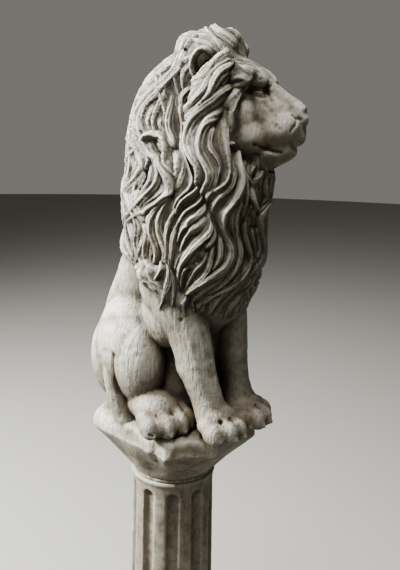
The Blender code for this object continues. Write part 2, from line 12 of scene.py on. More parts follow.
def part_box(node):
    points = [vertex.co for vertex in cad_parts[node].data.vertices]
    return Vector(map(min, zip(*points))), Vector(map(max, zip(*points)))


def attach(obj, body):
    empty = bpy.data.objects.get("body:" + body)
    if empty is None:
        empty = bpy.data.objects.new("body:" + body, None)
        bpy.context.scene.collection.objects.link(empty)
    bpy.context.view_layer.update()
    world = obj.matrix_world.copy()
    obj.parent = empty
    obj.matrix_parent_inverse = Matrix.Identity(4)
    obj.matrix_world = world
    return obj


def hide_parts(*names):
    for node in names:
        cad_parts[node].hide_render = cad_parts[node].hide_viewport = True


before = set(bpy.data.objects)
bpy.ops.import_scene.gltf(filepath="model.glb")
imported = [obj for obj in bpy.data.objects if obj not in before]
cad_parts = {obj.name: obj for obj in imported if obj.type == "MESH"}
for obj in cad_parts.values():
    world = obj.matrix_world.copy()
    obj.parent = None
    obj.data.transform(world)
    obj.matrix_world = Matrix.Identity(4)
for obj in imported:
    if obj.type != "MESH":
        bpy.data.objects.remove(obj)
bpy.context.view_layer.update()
print("frame loaded")

# The figure is shaped in a frame of its own whose zero height is the slab under the paws.
baseHeight = 0.115
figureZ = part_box("lion_on_rocky_base")[0].z + baseHeight
mortarLow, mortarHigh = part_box("mortar_bed")
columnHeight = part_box("fluted_column")[1].z

# The photo's view: pixels for the frame, metres and degrees for the place.
view = {
    "width": 400,
    "height": 570,
    "focal": 600.0,
    "azimuth": -47.0,
    "distance": 1.06,
    "rise": 0.485,          # above the slab
    "yaw": -2.35,
    "pitch": 13.4,
    "roll": 1.45,
}


def viewAxes():
    turn = math.radians(view["azimuth"])
    toObject = Vector((-math.sin(turn), math.cos(turn), 0.0))
    level = Matrix.Rotation(math.radians(view["yaw"]), 3, "Z") @ toObject
    pitch = math.radians(view["pitch"])
    ahead = Vector((level.x * math.cos(pitch), level.y * math.cos(pitch), -math.sin(pitch)))
    flat = ahead.cross(Vector((0, 0, 1))).normalized()
    rise = flat.cross(ahead)
    roll = math.radians(view["roll"])
    right = flat * math.cos(roll) + rise * math.sin(roll)
    up = rise * math.cos(roll) - flat * math.sin(roll)
    place = Vector((view["distance"] * math.sin(turn), -view["distance"] * math.cos(turn), view["rise"]))
    return place, right, up, ahead


viewPlace, viewRight, viewUp, viewAhead = viewAxes()


def pixelRay(px, py):                       # the direction seen at a pixel of the photo
    across = (px - view["width"] / 2) / view["focal"]
    down = (py - view["height"] / 2) / view["focal"]
    return (viewAhead + viewRight * across - viewUp * down).normalized()


# Mesh helpers

def meshOf(bm, name):
    mesh = bpy.data.meshes.new(name)
    bm.to_mesh(mesh)
    bm.free()
    return mesh


def addTo(bm, part):
    bmesh.ops.recalc_face_normals(part, faces=part.faces)
    mesh = meshOf(part, "step")
    bm.from_mesh(mesh)
    bpy.data.meshes.remove(mesh)


def evaluated(piece):
    graph = bpy.context.evaluated_depsgraph_get()
    mesh = bpy.data.meshes.new_from_object(piece.evaluated_get(graph))
    bpy.data.objects.remove(piece)
    return mesh


def looseObject(mesh):
    piece = bpy.data.objects.new(mesh.name, mesh)
    bpy.context.scene.collection.objects.link(piece)
    return piece


def remeshed(bm, voxel, smoothing, factor=0.5):
    piece = looseObject(meshOf(bm, "skin"))
    skin = piece.modifiers.new("skin", "REMESH")
    skin.mode = "VOXEL"
    skin.voxel_size = voxel
    if smoothing:
        ease = piece.modifiers.new("ease", "SMOOTH")
        ease.iterations = smoothing
        ease.factor = factor
    return evaluated(piece)


def thinned(mesh, triangles):
    piece = looseObject(mesh)
    thin = piece.modifiers.new("thin", "DECIMATE")
    thin.ratio = min(1.0, triangles / (2 * len(mesh.polygons)))
    return evaluated(piece)


def smoothly(points, steps):                # Catmull-Rom through tuples of numbers
    ends = [points[0], *points, points[-1]]
    made = []
    for i in range(1, len(ends) - 2):
        for k in range(steps):
            t = k / steps
            made.append(tuple(
                0.5 * (2 * b + (c - a) * t + (2 * a - 5 * b + 4 * c - d) * t * t
                       + (3 * b - a - 3 * c + d) * t ** 3)
                for a, b, c, d in zip(*ends[i - 1:i + 3])
            ))
    made.append(tuple(points[-1]))
    return made


def frameAt(place, along, side, wide, high):
    z = along.normalized()
    x = (side - side.dot(z) * z).normalized()
    y = z.cross(x)
    turn = Matrix((x, y, z)).transposed().to_4x4()
    return Matrix.Translation(place) @ turn @ Matrix.Diagonal((wide, high, 1.0, 1.0))


def sweep(bm, profile, frames):             # draws a closed profile through frames and caps the ends
    part = bmesh.new()
    ring = [part.verts.new(frames[0] @ Vector((x, y, 0.0))) for x, y in profile]
    loop = [part.edges.new((ring[i - 1], ring[i])) for i in range(len(ring))]
    part.faces.new(ring)
    for before, after in zip(frames, frames[1:]):
        made = bmesh.ops.extrude_edge_only(part, edges=loop)["geom"]
        verts = {e for e in made if isinstance(e, bmesh.types.BMVert)}
        loop = [e for e in made if isinstance(e, bmesh.types.BMEdge) and verts.issuperset(e.verts)]
        bmesh.ops.transform(part, matrix=after @ before.inverted(), verts=list(verts))
    bmesh.ops.contextual_create(part, geom=loop)
    addTo(bm, part)


def limb(bm, stations, sides=20, steps=6, across=Vector((1.0, 0.0, 0.0))):
    path = smoothly(stations, steps)        # stations are x, y, z, half width, half thickness
    circle = [(math.cos(math.tau * i / sides), math.sin(math.tau * i / sides)) for i in range(sides)]
    frames = []
    for i, (x, y, z, wide, high) in enumerate(path):
        ahead = Vector(path[min(i + 1, len(path) - 1)][:3])
        behind = Vector(path[max(i - 1, 0)][:3])
        frames.append(frameAt(Vector((x, y, z)), ahead - behind, across, wide, high))
    sweep(bm, circle, frames)


def lump(bm, centre, radii, turn=0.0, lean=0.0):
    part = bmesh.new()
    bmesh.ops.create_uvsphere(part, u_segments=28, v_segments=18, radius=1.0)
    place = (Matrix.Translation(Vector(centre)) @ Matrix.Rotation(turn, 4, "Z")
             @ Matrix.Rotation(lean, 4, "X") @ Matrix.Diagonal((*radii, 1.0)))
    bmesh.ops.transform(part, matrix=place, verts=part.verts)
    addTo(bm, part)


def vertexArrays(mesh):
    count = len(mesh.vertices)
    places = np.empty(count * 3)
    normals = np.empty(count * 3)
    mesh.vertices.foreach_get("co", places)
    mesh.vertex_normals.foreach_get("vector", normals)
    return places.reshape(count, 3), normals.reshape(count, 3)


def setPlaces(mesh, places):
    mesh.vertices.foreach_set("co", places.ravel())
    mesh.update()


def scored(mesh, strokes):                  # presses strokes in; a negative depth raises a ridge
    places, normals = vertexArrays(mesh)
    moves = np.zeros(len(places))
    for points, width, depth in strokes:
        path = np.array(smoothly(points, 8))
        low = path.min(axis=0) - 3 * width
        high = path.max(axis=0) + 3 * width
        close = np.nonzero(((places > low) & (places < high)).all(axis=1))[0]
        if not len(close):
            continue
        near = np.full(len(close), 1.0)
        for point in path:
            near = np.minimum(near, ((places[close] - point) ** 2).sum(axis=1))
        moves[close] += depth * np.exp(-near / width ** 2)
    setPlaces(mesh, places - normals * moves[:, None])


# The lion's body

def torso(bm):
    limb(bm, [
        (0, 0.092, 0.004, 0.062, 0.052),
        (0, 0.096, 0.085, 0.078, 0.068),
        (0, 0.080, 0.165, 0.079, 0.073),
        (0, 0.055, 0.225, 0.076, 0.071),
        (0, 0.022, 0.285, 0.080, 0.076),
        (0, -0.015, 0.345, 0.084, 0.080),
        (0, -0.030, 0.400, 0.078, 0.078),
    ], sides=32)
    limb(bm, [                               # the stone left between the forelegs
        (0, -0.076, -0.008, 0.040, 0.026),
        (0, -0.066, 0.070, 0.040, 0.026),
        (0, -0.056, 0.150, 0.048, 0.034),
        (0, -0.048, 0.230, 0.060, 0.054),
    ])
    lump(bm, (0, -0.004, 0.040), (0.066, 0.075, 0.110))
    lump(bm, (0, 0.020, 0.150), (0.070, 0.070, 0.095))


def hindLeg(bm, side):
    lump(bm, (side * 0.075, 0.042, 0.118), (0.051, 0.072, 0.084), turn=side * 0.06, lean=-0.12)
    lump(bm, (side * 0.080, 0.012, 0.106), (0.045, 0.050, 0.082), turn=side * 0.10, lean=-0.10)
    lump(bm, (side * 0.061, 0.082, 0.094), (0.054, 0.057, 0.088))
    lump(bm, (side * 0.066, 0.050, 0.158), (0.046, 0.060, 0.060))
    lump(bm, (side * 0.050, 0.074, 0.128), (0.056, 0.060, 0.074))
    limb(bm, [
        (side * 0.096, 0.058, 0.124, 0.010, 0.014),
        (side * 0.105, 0.054, 0.092, 0.018, 0.018),
        (side * 0.105, 0.046, 0.052, 0.020, 0.018),
        (side * 0.102, 0.034, 0.018, 0.022, 0.018),
        (side * 0.096, 0.022, -0.006, 0.023, 0.020),
    ])
    lump(bm, (side * 0.090, 0.034, 0.000), (0.024, 0.036, 0.016))


def foreLeg(bm, side):
    lump(bm, (side * 0.061, -0.036, 0.252), (0.042, 0.052, 0.066))
    lump(bm, (side * 0.052, -0.030, 0.196), (0.042, 0.050, 0.062))
    limb(bm, [
        (side * 0.064, -0.034, 0.280, 0.048, 0.050),
        (side * 0.060, -0.058, 0.220, 0.042, 0.045),
        (side * 0.052, -0.079, 0.172, 0.034, 0.039),
        (side * 0.045, -0.096, 0.105, 0.029, 0.033),
        (side * 0.040, -0.112, 0.062, 0.027, 0.028),
        (side * 0.040, -0.126, 0.032, 0.031, 0.027),
    ])
    lump(bm, (side * 0.046, -0.088, 0.118), (0.030, 0.034, 0.040))


def tail(bm):
    limb(bm, [
        (0.010, 0.114, 0.050, 0.018, 0.022),
        (0.046, 0.110, 0.018, 0.015, 0.018),
        (0.080, 0.096, 0.008, 0.013, 0.014),
        (0.102, 0.070, 0.006, 0.012, 0.013),
        (0.108, 0.036, 0.007, 0.013, 0.014),
        (0.109, 0.004, 0.008, 0.017, 0.016),
        (0.108, -0.022, 0.006, 0.010, 0.012),
    ])


# Each paw: an instep drawn from the leg forward, then four toes side by side, given for the lion's left.
paws = {
    "hind": {
        "instep": (                          # aside, back, height, half width, half thickness
            (0.076, 0.018, 0.024, 0.027, 0.025),
            (0.080, -0.014, 0.031, 0.036, 0.031),
            (0.087, -0.044, 0.028, 0.041, 0.031),
            (0.091, -0.070, 0.019, 0.040, 0.021),
        ),
        "toes": ((0.127, -0.060), (0.104, -0.078), (0.078, -0.085), (0.056, -0.078)),
        "toe": (0.0158, 0.0225, 0.0205),     # half width, length and height
        "toeHeight": 0.0175,
        "facing": 16.0,                      # degrees outward
    },
    "fore": {
        "instep": (
            (0.041, -0.112, 0.038, 0.027, 0.030),
            (0.038, -0.132, 0.030, 0.034, 0.027),
            (0.036, -0.152, 0.019, 0.038, 0.021),
        ),
        "toes": ((0.069, -0.151), (0.048, -0.167), (0.026, -0.168), (0.006, -0.154)),
        "toe": (0.0152, 0.0205, 0.0195),
        "toeHeight": 0.0160,
        "facing": 4.0,
    },
}
toeLumps = (                                 # forward, up and radii as shares of the toe's own, then lean
    (-0.75, 0.42, (0.80, 0.95, 0.72), -0.35),
    (0.30, -0.30, (0.92, 0.72, 0.66), 0.0),
)
claw = {"forward": 0.92, "up": -0.34, "radii": (0.0042, 0.0075, 0.0052), "lean": 0.5}
toeFlesh = {"forward": 0.06, "radii": (0.95, 0.84, 0.90)}    # what fills the gap between two toes
toeGroove = {
    "path": ((-1.7, 1.35), (-0.8, 1.15), (0.1, 0.80), (0.7, 0.10), (0.8, -0.60)),    # forward and up
    "width": 0.0019,
    "depth": 0.0046,
}


def betweenToes(before, after, side, height):
    return Vector((side * (before[0] + after[0]) / 2, (before[1] + after[1]) / 2, height))


def paw(bm, side, instep, toes, toe, toeHeight, facing):
    turn = math.radians(facing) * side
    ahead = Vector((math.sin(turn), -math.cos(turn), 0.0))
    across = Vector((math.cos(turn), math.sin(turn), 0.0))
    limb(bm, [(side * x, *rest) for x, *rest in instep], across=across)
    length, height = toe[1:]
    for number, (x, y) in enumerate(toes):
        fan = turn + side * math.radians(9 - 6 * number)
        centre = Vector((side * x, y, toeHeight))
        lump(bm, centre, toe, fan)
        for forward, up, shares, lean in toeLumps:
            place = centre + ahead * length * forward + Vector((0, 0, height * up))
            lump(bm, place, [size * share for size, share in zip(toe, shares)], fan, lean)
        place = centre + ahead * length * claw["forward"] + Vector((0, 0, height * claw["up"]))
        lump(bm, place, claw["radii"], fan, claw["lean"])
    for before, after in zip(toes, toes[1:]):
        middle = betweenToes(before, after, side, toeHeight) + ahead * length * toeFlesh["forward"]
        lump(bm, middle, [size * share for size, share in zip(toe, toeFlesh["radii"])], turn)


def toeStrokes():                            # the grooves between the toes
    strokes = []
    for kind in paws.values():
        turn = math.radians(kind["facing"])
        length, height = kind["toe"][1:]
        for side in (-1, 1):
            ahead = Vector((math.sin(turn) * side, -math.cos(turn), 0.0))
            for before, after in zip(kind["toes"], kind["toes"][1:]):
                middle = betweenToes(before, after, side, kind["toeHeight"])
                points = [tuple(middle + ahead * length * forward + Vector((0, 0, height * up)))
                          for forward, up in toeGroove["path"]]
                strokes.append((points, toeGroove["width"], toeGroove["depth"]))
    return strokes


# The head, turned on the body

headTurn = math.radians(18.0)
headCentre = Vector((0.0, -0.085, 0.0))
headAhead = Vector((math.sin(headTurn), -math.cos(headTurn), 0.0))
headRight = Vector((-math.cos(headTurn), -math.sin(headTurn), 0.0))


def headPoint(ahead, right, height):
    return headCentre + headAhead * ahead + headRight * right + Vector((0.0, 0.0, height))


def headLump(bm, ahead, right, height, radii, lean=0.0):
    lump(bm, headPoint(ahead, right, height), radii, headTurn, lean)


def headLimb(bm, stations):
    limb(bm, [(*headPoint(a, r, h), w, t) for a, r, h, w, t in stations], 28, 6, headRight)


def head(bm):
    headLump(bm, 0.012, 0.0, 0.552, (0.054, 0.066, 0.066))
    headLimb(bm, [                           # from the skull to the nose
        (0.000, 0, 0.546, 0.054, 0.056),
        (0.030, 0, 0.540, 0.052, 0.058),
        (0.055, 0, 0.530, 0.046, 0.054),
        (0.080, 0, 0.521, 0.040, 0.047),
        (0.104, 0, 0.515, 0.036, 0.041),
        (0.122, 0, 0.511, 0.031, 0.035),
        (0.136, 0, 0.510, 0.024, 0.028),
        (0.143, 0, 0.511, 0.014, 0.018),
    ])
    headLimb(bm, [                           # the bridge of the nose
        (0.020, 0, 0.610, 0.024, 0.014),
        (0.050, 0, 0.593, 0.022, 0.016),
        (0.076, 0, 0.571, 0.018, 0.016),
        (0.104, 0, 0.551, 0.016, 0.015),
        (0.128, 0, 0.537, 0.017, 0.014),
        (0.140, 0, 0.529, 0.015, 0.012),
    ])
    headLump(bm, 0.138, 0, 0.523, (0.017, 0.011, 0.013), -0.4)
    headLimb(bm, [                           # the lower jaw
        (0.010, 0, 0.480, 0.040, 0.034),
        (0.050, 0, 0.471, 0.039, 0.030),
        (0.085, 0, 0.469, 0.034, 0.024),
        (0.112, 0, 0.475, 0.028, 0.019),
        (0.128, 0, 0.482, 0.021, 0.014),
    ])
    headLimb(bm, [                           # the throat and the beard's mass
        (0.056, 0, 0.474, 0.034, 0.034),
        (0.046, 0, 0.436, 0.042, 0.043),
        (0.034, 0, 0.390, 0.048, 0.050),
        (0.020, 0, 0.340, 0.044, 0.046),
    ])
    for side in (-1, 1):
        headLump(bm, 0.040, side * 0.034, 0.524, (0.026, 0.040, 0.046))
        headLump(bm, 0.056, side * 0.030, 0.496, (0.027, 0.040, 0.032))
        headLump(bm, 0.104, side * 0.020, 0.508, (0.022, 0.038, 0.028), -0.25)
        headLimb(bm, [                       # the brow, running up into the forehead
            (0.012, side * 0.022, 0.606, 0.022, 0.020),
            (0.044, side * 0.027, 0.595, 0.020, 0.017),
            (0.070, side * 0.027, 0.581, 0.018, 0.016),
            (0.086, side * 0.023, 0.571, 0.011, 0.011),
        ])
        headLump(bm, 0.048, side * 0.040, 0.582, (0.015, 0.026, 0.014))


# The mane's mass, before its locks

mane = {
    "sections": (                            # height, centre towards the back, half width, half depth
        (0.150, -0.050, 0.024, 0.030),
        (0.185, -0.055, 0.044, 0.054),
        (0.215, -0.060, 0.067, 0.077),
        (0.245, -0.060, 0.082, 0.092),
        (0.285, -0.055, 0.092, 0.109),
        (0.335, -0.044, 0.100, 0.120),
        (0.385, -0.039, 0.104, 0.121),
        (0.435, -0.035, 0.102, 0.113),
        (0.485, -0.020, 0.095, 0.086),
        (0.535, -0.022, 0.086, 0.070),
        (0.562, -0.034, 0.072, 0.058),
        (0.590, -0.062, 0.053, 0.050),
        (0.622, -0.078, 0.049, 0.055),
        (0.642, -0.084, 0.030, 0.038),
        (0.650, -0.084, 0.014, 0.018),
    ),
    "swell": 0.006,                          # the locks' ground stands this far over the mass
    "hollow": 0.0036,                        # and sinks this far where no lock lies
    "standOff": 1.06,                        # where the back's locks are laid out, over the mass
    "hemFront": 0.200,
    "hemRise": 0.050,                        # half of what the hem rises from the chest to the back
    "hemDepth": 0.022,
    "hairlineDepth": 0.011,
    "strandDepth": 0.0030,
    "blend": 0.0009,                         # how softly neighbouring locks run together
    "chinAhead": (0.04, 0.08, 0.10),
    "chinHeights": (0.456, 0.446, 0.430),    # the beard's upper edge from the throat to the chin
    "chinBlend": 0.026,
    "metresPerPixel": 0.00168,
    "widening": 1.62,                        # a lock's foot is this much wider than its visible ridge
    "strandsPerPixel": 0.55,
    "shownLift": 0.00115,                    # metres of height for each mm noted, where the photo shows it
    "hiddenLift": 0.001,
}
# A lock's width from root to tip as shares of its half width, and how its height falls to its sides.
lockShape = {
    "root": 0.60,
    "growth": 0.40,
    "growthRate": 5,                         # full width after a fifth of its run
    "taper": 0.60,
    "taperStart": 0.40,
    "taperRun": 0.60,
    "sway": 0.22,                            # how far the strands wander
    "swayRate": 55,                          # and how often, in radians a metre
    "steepFlank": 1.45,                      # one flank falls faster than the other
    "easyFlank": 0.80,
    "fall": 1.20,
    "fallPower": 1.45,
    "spacing": 0.0016,                       # between the points kept along it
    "shortest": 0.012,
}

# Locks on the lion's right, followed on the photo from root to tip: points and width in pixels,
# height in mm.
tracedLocks = {
    "crownFront": ([(247, 52), (242, 42), (236, 34), (226, 29), (214, 28)], 9, 7),
    "crownMiddle": ([(239, 56), (232, 45), (224, 37), (212, 33), (198, 33), (186, 38)], 8, 7),
    "browFirst": ([(263, 67), (254, 63), (245, 62), (236, 60)], 6, 4),
    "browSecond": ([(257, 74), (249, 71), (241, 69), (233, 67)], 6, 4),
    "browThird": ([(252, 81), (246, 78), (239, 77), (231, 80)], 5, 4),
    "crownFar": ([(262, 62), (258, 50), (252, 42), (244, 34)], 8, 6),
    "crownEdge": ([(252, 60), (249, 47), (243, 37), (236, 30)], 7, 6),
    "crownBack": ([(228, 54), (216, 43), (203, 35), (188, 38), (174, 48), (164, 62), (160, 78), (161, 96),
        (166, 114)], 9, 7),
    "crownLow": ([(227, 50), (213, 41), (197, 39), (182, 45), (171, 56), (165, 69), (164, 84),
        (167, 100)], 6, 6),
    "crownTop": ([(235, 48), (222, 37), (207, 31), (192, 34), (179, 42), (168, 54)], 7, 6),
    "earRimUpper": ([(222, 53), (208, 45), (193, 43), (180, 47), (172, 57), (171, 68), (177, 78)], 4, 5),
    "earRim": ([(217, 54), (206, 50), (199, 53), (194, 61), (192, 72), (193, 84), (188, 92)], 3, 7),
    "hollowStrand": ([(195, 57), (186, 62), (179, 70), (176, 80), (178, 91), (181, 100)], 5, 5),
    "hollowStrandLow": ([(191, 65), (184, 73), (183, 84), (184, 94)], 5, 5),
    "templeTuft": ([(240, 67), (231, 67), (221, 74), (213, 85), (208, 97), (200, 106)], 9, 9),
    "templeEdge": ([(232, 56), (221, 59), (213, 67), (207, 76), (199, 83), (190, 90), (182, 97),
        (179, 110), (181, 126), (183, 143), (187, 157), (191, 169), (193, 180), (189, 190), (181, 196),
        (176, 206)], 7, 7),
    "templeInner": ([(228, 62), (217, 70), (210, 80), (206, 91), (199, 101), (191, 110), (187, 122),
        (186, 138), (188, 152)], 6, 6),
    "templeLong": ([(249, 78), (239, 82), (228, 86), (219, 93), (211, 101), (202, 109), (195, 118),
        (191, 132), (191, 148), (196, 160), (201, 172), (199, 186), (190, 195), (182, 201),
        (178, 212)], 7, 8),
    "cheekLong": ([(247, 83), (237, 87), (228, 94), (220, 103), (213, 113), (206, 123), (202, 136),
        (201, 152), (206, 165), (210, 176), (206, 188), (202, 199), (195, 206), (185, 212),
        (180, 222)], 7, 7),
    "faceSide": ([(243, 90), (234, 95), (226, 104), (222, 116), (222, 132), (223, 148), (225, 160),
        (227, 172), (225, 183), (217, 189)], 7, 7),
    "faceEdge": ([(240, 97), (234, 107), (232, 122), (233, 138), (231, 150), (234, 164), (238, 178),
        (237, 191), (231, 202), (225, 211), (223, 222), (224, 234)], 8, 8),
    "underFace": ([(216, 122), (211, 136), (210, 149), (216, 158), (220, 170), (217, 183)], 5, 4),
    "napeEdge": ([(160, 70), (149, 77), (141, 87), (135, 99), (130, 113), (129, 127), (134, 140),
        (141, 150), (149, 159)], 9, 8),
    "napeInner": ([(159, 92), (148, 98), (140, 107), (135, 118), (137, 130), (144, 138)], 6, 7),
    "napeStrand": ([(162, 98), (153, 104), (147, 113), (144, 125), (148, 134)], 5, 6),
    "napeFill": ([(166, 92), (161, 104), (156, 116), (155, 128), (160, 134)], 6, 6),
    "midFill": ([(172, 100), (170, 114), (170, 128), (174, 140), (178, 152), (180, 166),
        (177, 182)], 7, 6),
    "loopRim": ([(151, 158), (145, 150), (145, 141), (150, 135), (159, 133), (166, 140), (168, 151),
        (166, 163)], 5, 9),
    "loopTail": ([(150, 150), (152, 156), (158, 163), (164, 171), (168, 181), (169, 192), (163, 201),
        (153, 207), (142, 213), (132, 221)], 7, 9),
    "innerCurve": ([(155, 161), (160, 171), (159, 183), (152, 193), (143, 201), (135, 210),
        (129, 220)], 7, 8),
    "shoulderEdge": ([(140, 150), (134, 158), (131, 170), (126, 182), (121, 192), (122, 206),
        (124, 220)], 7, 8),
    "shoulderOuter": ([(134, 147), (126, 156), (121, 165), (121, 177), (124, 188)], 6, 8),
    "shoulderInner": ([(146, 160), (142, 171), (137, 181), (130, 190), (128, 202), (126, 216),
        (128, 228)], 7, 7),
    "lowShoulder": ([(131, 220), (135, 230), (138, 242), (137, 254), (133, 262)], 6, 6),
    "hemEdge": ([(124, 218), (123, 230), (127, 241), (130, 251), (137, 261), (143, 272)], 6, 7),
    "sideLong": ([(163, 203), (155, 212), (153, 225), (156, 238), (160, 249), (158, 261),
        (151, 273)], 8, 8),
    "sideInner": ([(167, 204), (162, 216), (161, 230), (165, 243), (167, 255), (163, 267),
        (157, 277)], 7, 7),
    "sideFill": ([(150, 232), (145, 243), (141, 255), (141, 268), (147, 280)], 8, 7),
    "middleLong": ([(176, 210), (170, 222), (168, 236), (170, 250), (168, 264), (167, 280),
        (163, 298)], 6, 7),
    "middleInner": ([(180, 222), (176, 234), (175, 247), (173, 259), (171, 271), (174, 288),
        (173, 304)], 6, 6),
    "sweepUpper": ([(206, 206), (199, 215), (190, 220), (184, 228), (180, 239)], 6, 7),
    "sweepSecond": ([(209, 212), (204, 224), (194, 230), (187, 237), (183, 249)], 6, 7),
    "sweepGreat": ([(211, 216), (212, 228), (206, 238), (197, 246), (189, 255), (182, 266),
        (181, 278)], 8, 10),
    "sweepFold": ([(214, 222), (215, 234), (210, 243), (201, 250), (194, 260), (186, 269),
        (183, 284)], 6, 9),
    "swirlInner": ([(209, 250), (205, 260), (198, 267), (192, 277), (188, 287)], 5, 6),
    "swirlMiddle": ([(213, 246), (211, 257), (210, 268), (203, 277), (195, 283), (188, 291)], 6, 7),
    "swirlGreat": ([(223, 226), (226, 238), (229, 249), (226, 260), (218, 269), (208, 276), (198, 284),
        (186, 293), (181, 303)], 8, 9),
    "swirlFill": ([(219, 238), (219, 250), (217, 261), (210, 270)], 6, 6),
    "chestFirst": ([(247, 152), (244, 166), (246, 180), (248, 193), (245, 206), (240, 218), (241, 232),
        (245, 246), (248, 258), (243, 270)], 7, 7),
    "chestCurl": ([(257, 154), (259, 166), (256, 177), (250, 187), (252, 200), (256, 212)], 6, 7),
    "chestEdge": ([(266, 160), (267, 176), (267, 192), (262, 206), (257, 219), (258, 234), (259, 248),
        (255, 262), (247, 273)], 7, 7),
    "chestInner": ([(238, 204), (233, 218), (234, 232), (238, 245), (238, 258), (233, 270), (224, 281),
        (212, 290)], 7, 7),
    "chestSweep": ([(247, 262), (240, 276), (229, 286), (216, 292), (206, 300)], 7, 7),
    "hemFront": ([(236, 275), (227, 288), (217, 298), (210, 310)], 7, 6),
    "hemMiddle": ([(196, 286), (187, 294), (182, 304), (185, 314)], 6, 6),
    "hemTip": ([(170, 270), (168, 284), (165, 296), (160, 308)], 5, 6),
    "beardFirst": ([(258, 154), (254, 162), (250, 171), (247, 182)], 6, 5),
    "beardSecond": ([(266, 158), (262, 167), (258, 177), (257, 190)], 6, 5),
    "beardThird": ([(273, 161), (269, 170), (266, 180), (266, 192)], 6, 5),
}
# Hollows between them: points and width in pixels, depth in mm.
tracedHollows = {
    "ear": ([(214, 57), (207, 61), (201, 68), (198, 78)], 5, 12),
    "earLow": ([(197, 80), (194, 88)], 3, 6),
    "behindEar": ([(188, 51), (179, 60), (175, 70)], 3, 4),
    "loop": ([(157, 141), (159, 149), (161, 157)], 5, 11),
    "besideFace": ([(240, 100), (236, 110), (235, 124), (235, 140), (238, 155), (241, 170)], 4, 2.5),
    "underTemple": ([(232, 92), (224, 102), (216, 114), (212, 126)], 3, 6),
    "cheekShadow": ([(228, 112), (227, 126), (228, 142)], 3, 6),
    "shoulderGap": ([(148, 172), (144, 184), (138, 193)], 4, 7),
    "middleGap": ([(176, 150), (175, 166), (174, 180), (172, 196)], 4, 7),
    "sideGap": ([(150, 214), (147, 226), (147, 236)], 3, 6),
    "sweepGap": ([(207, 212), (200, 222), (190, 226)], 2.5, 6),
    "swirlGap": ([(206, 248), (198, 256), (191, 266)], 2.5, 6),
    "chestGap": ([(252, 178), (247, 196), (249, 208), (249, 226)], 3, 6),
}
# Where the mane meets the face, from the forehead down, in pixels.
hairline = [
    (268, 58), (260, 68), (252, 79), (246, 89), (241, 98), (238, 110), (237, 126), (238, 142), (242, 154),
]


def maneCore(bm):
    stations = [(0, back, height, wide, deep) for height, back, wide, deep in mane["sections"]]
    limb(bm, stations, sides=40, steps=4)
    for side in (-1, 1):                     # the ruff beside the face
        headLimb(bm, [
            (0.030, side * 0.036, 0.604, 0.016, 0.018),
            (0.010, side * 0.054, 0.560, 0.020, 0.024),
            (0.006, side * 0.062, 0.510, 0.023, 0.027),
            (0.016, side * 0.062, 0.460, 0.029, 0.033),
            (0.034, side * 0.052, 0.410, 0.034, 0.034),
            (0.030, side * 0.044, 0.360, 0.030, 0.028),
            (0.020, side * 0.038, 0.310, 0.022, 0.020),
        ])


def maneSection(height):
    sections = mane["sections"]
    if height <= sections[0][0]:
        return sections[0][1:]
    for low, high in zip(sections, sections[1:]):
        if height <= high[0]:
            t = (height - low[0]) / (high[0] - low[0])
            return tuple(a + (b - a) * t for a, b in zip(low[1:], high[1:]))
    return sections[-1][1:]


def manePoint(height, angle):               # angle from the chest round to the lion's right
    back, wide, deep = maneSection(height)
    angle = math.radians(angle)
    over = mane["standOff"]
    return Vector((-over * wide * math.sin(angle), back - over * deep * math.cos(angle), height))


def hemHeight(angle):                        # the mane's lower edge, high behind and low on the chest
    return mane["hemFront"] + mane["hemRise"] * (1 - np.cos(angle))


def tracedPath(tree, pixels):               # pixel points dropped on the surface and eased
    axisDepth = -viewPlace.xy.dot(viewAhead.xy.normalized())
    path = []
    for px, py in smoothly(pixels, 6):
        ray = pixelRay(px, py)
        hit = tree.ray_cast(viewPlace, ray)[0]
        if hit is None:
            reach = axisDepth / ray.xy.dot(viewAhead.xy.normalized())
            hit = tree.find_nearest(viewPlace + ray * reach)[0]
        path.append(hit)
    for ease in range(7):
        path = [path[0]] + [(a + b * 2 + c) / 4 for a, b, c in zip(path, path[1:], path[2:])] + [path[-1]]
    return path


neck = {"height": 0.42, "blend": 0.10}       # below it the body's mirror plane holds, above it the head's


def mirrored(point):
    share = min(1.0, max(0.0, (point.z - neck["height"]) / neck["blend"]))
    share = share * share * (3 - 2 * share)
    turn = headTurn * share
    centre = headCentre * share
    across = Vector((math.cos(turn), math.sin(turn), 0.0))
    return point - across * 2 * (point - centre).dot(across)


hidden = {"facing": 0.12, "shortest": 8}     # the slant past which little shows, and the fewest points


def hiddenRun(tree, path):                  # the part of a path that the photo doesn't show
    kept = []
    for point in path:
        place, normal = tree.find_nearest(point)[:2]
        if normal.dot((viewPlace - place).normalized()) < hidden["facing"]:
            kept.append(place)
        elif len(kept) > hidden["shortest"]:
            break
        else:
            kept = []
    return kept


locks = []


def addLock(tree, path, halfWidth, lift, strands, tilt):
    laid = [tree.find_nearest(point)[:2] for point in path]
    points = np.array([place for place, normal in laid])
    normals = np.array([normal for place, normal in laid])
    steps = np.linalg.norm(np.diff(points, axis=0), axis=1)
    runs = np.concatenate(([0.0], np.cumsum(steps)))
    if runs[-1] < lockShape["shortest"]:
        return
    even = np.arange(0.0, runs[-1], lockShape["spacing"])
    points = np.stack([np.interp(even, runs, points[:, k]) for k in range(3)], axis=1)
    normals = np.stack([np.interp(even, runs, normals[:, k]) for k in range(3)], axis=1)
    ahead = np.gradient(points, axis=0)
    ahead /= np.linalg.norm(ahead, axis=1)[:, None] + 1e-9
    asides = np.cross(normals, ahead)
    asides /= np.linalg.norm(asides, axis=1)[:, None] + 1e-9
    locks.append({
        "points": points, "ahead": ahead, "asides": asides, "runs": even, "halfWidth": halfWidth,
        "lift": lift, "strands": strands, "tilt": tilt, "number": len(locks),
    })


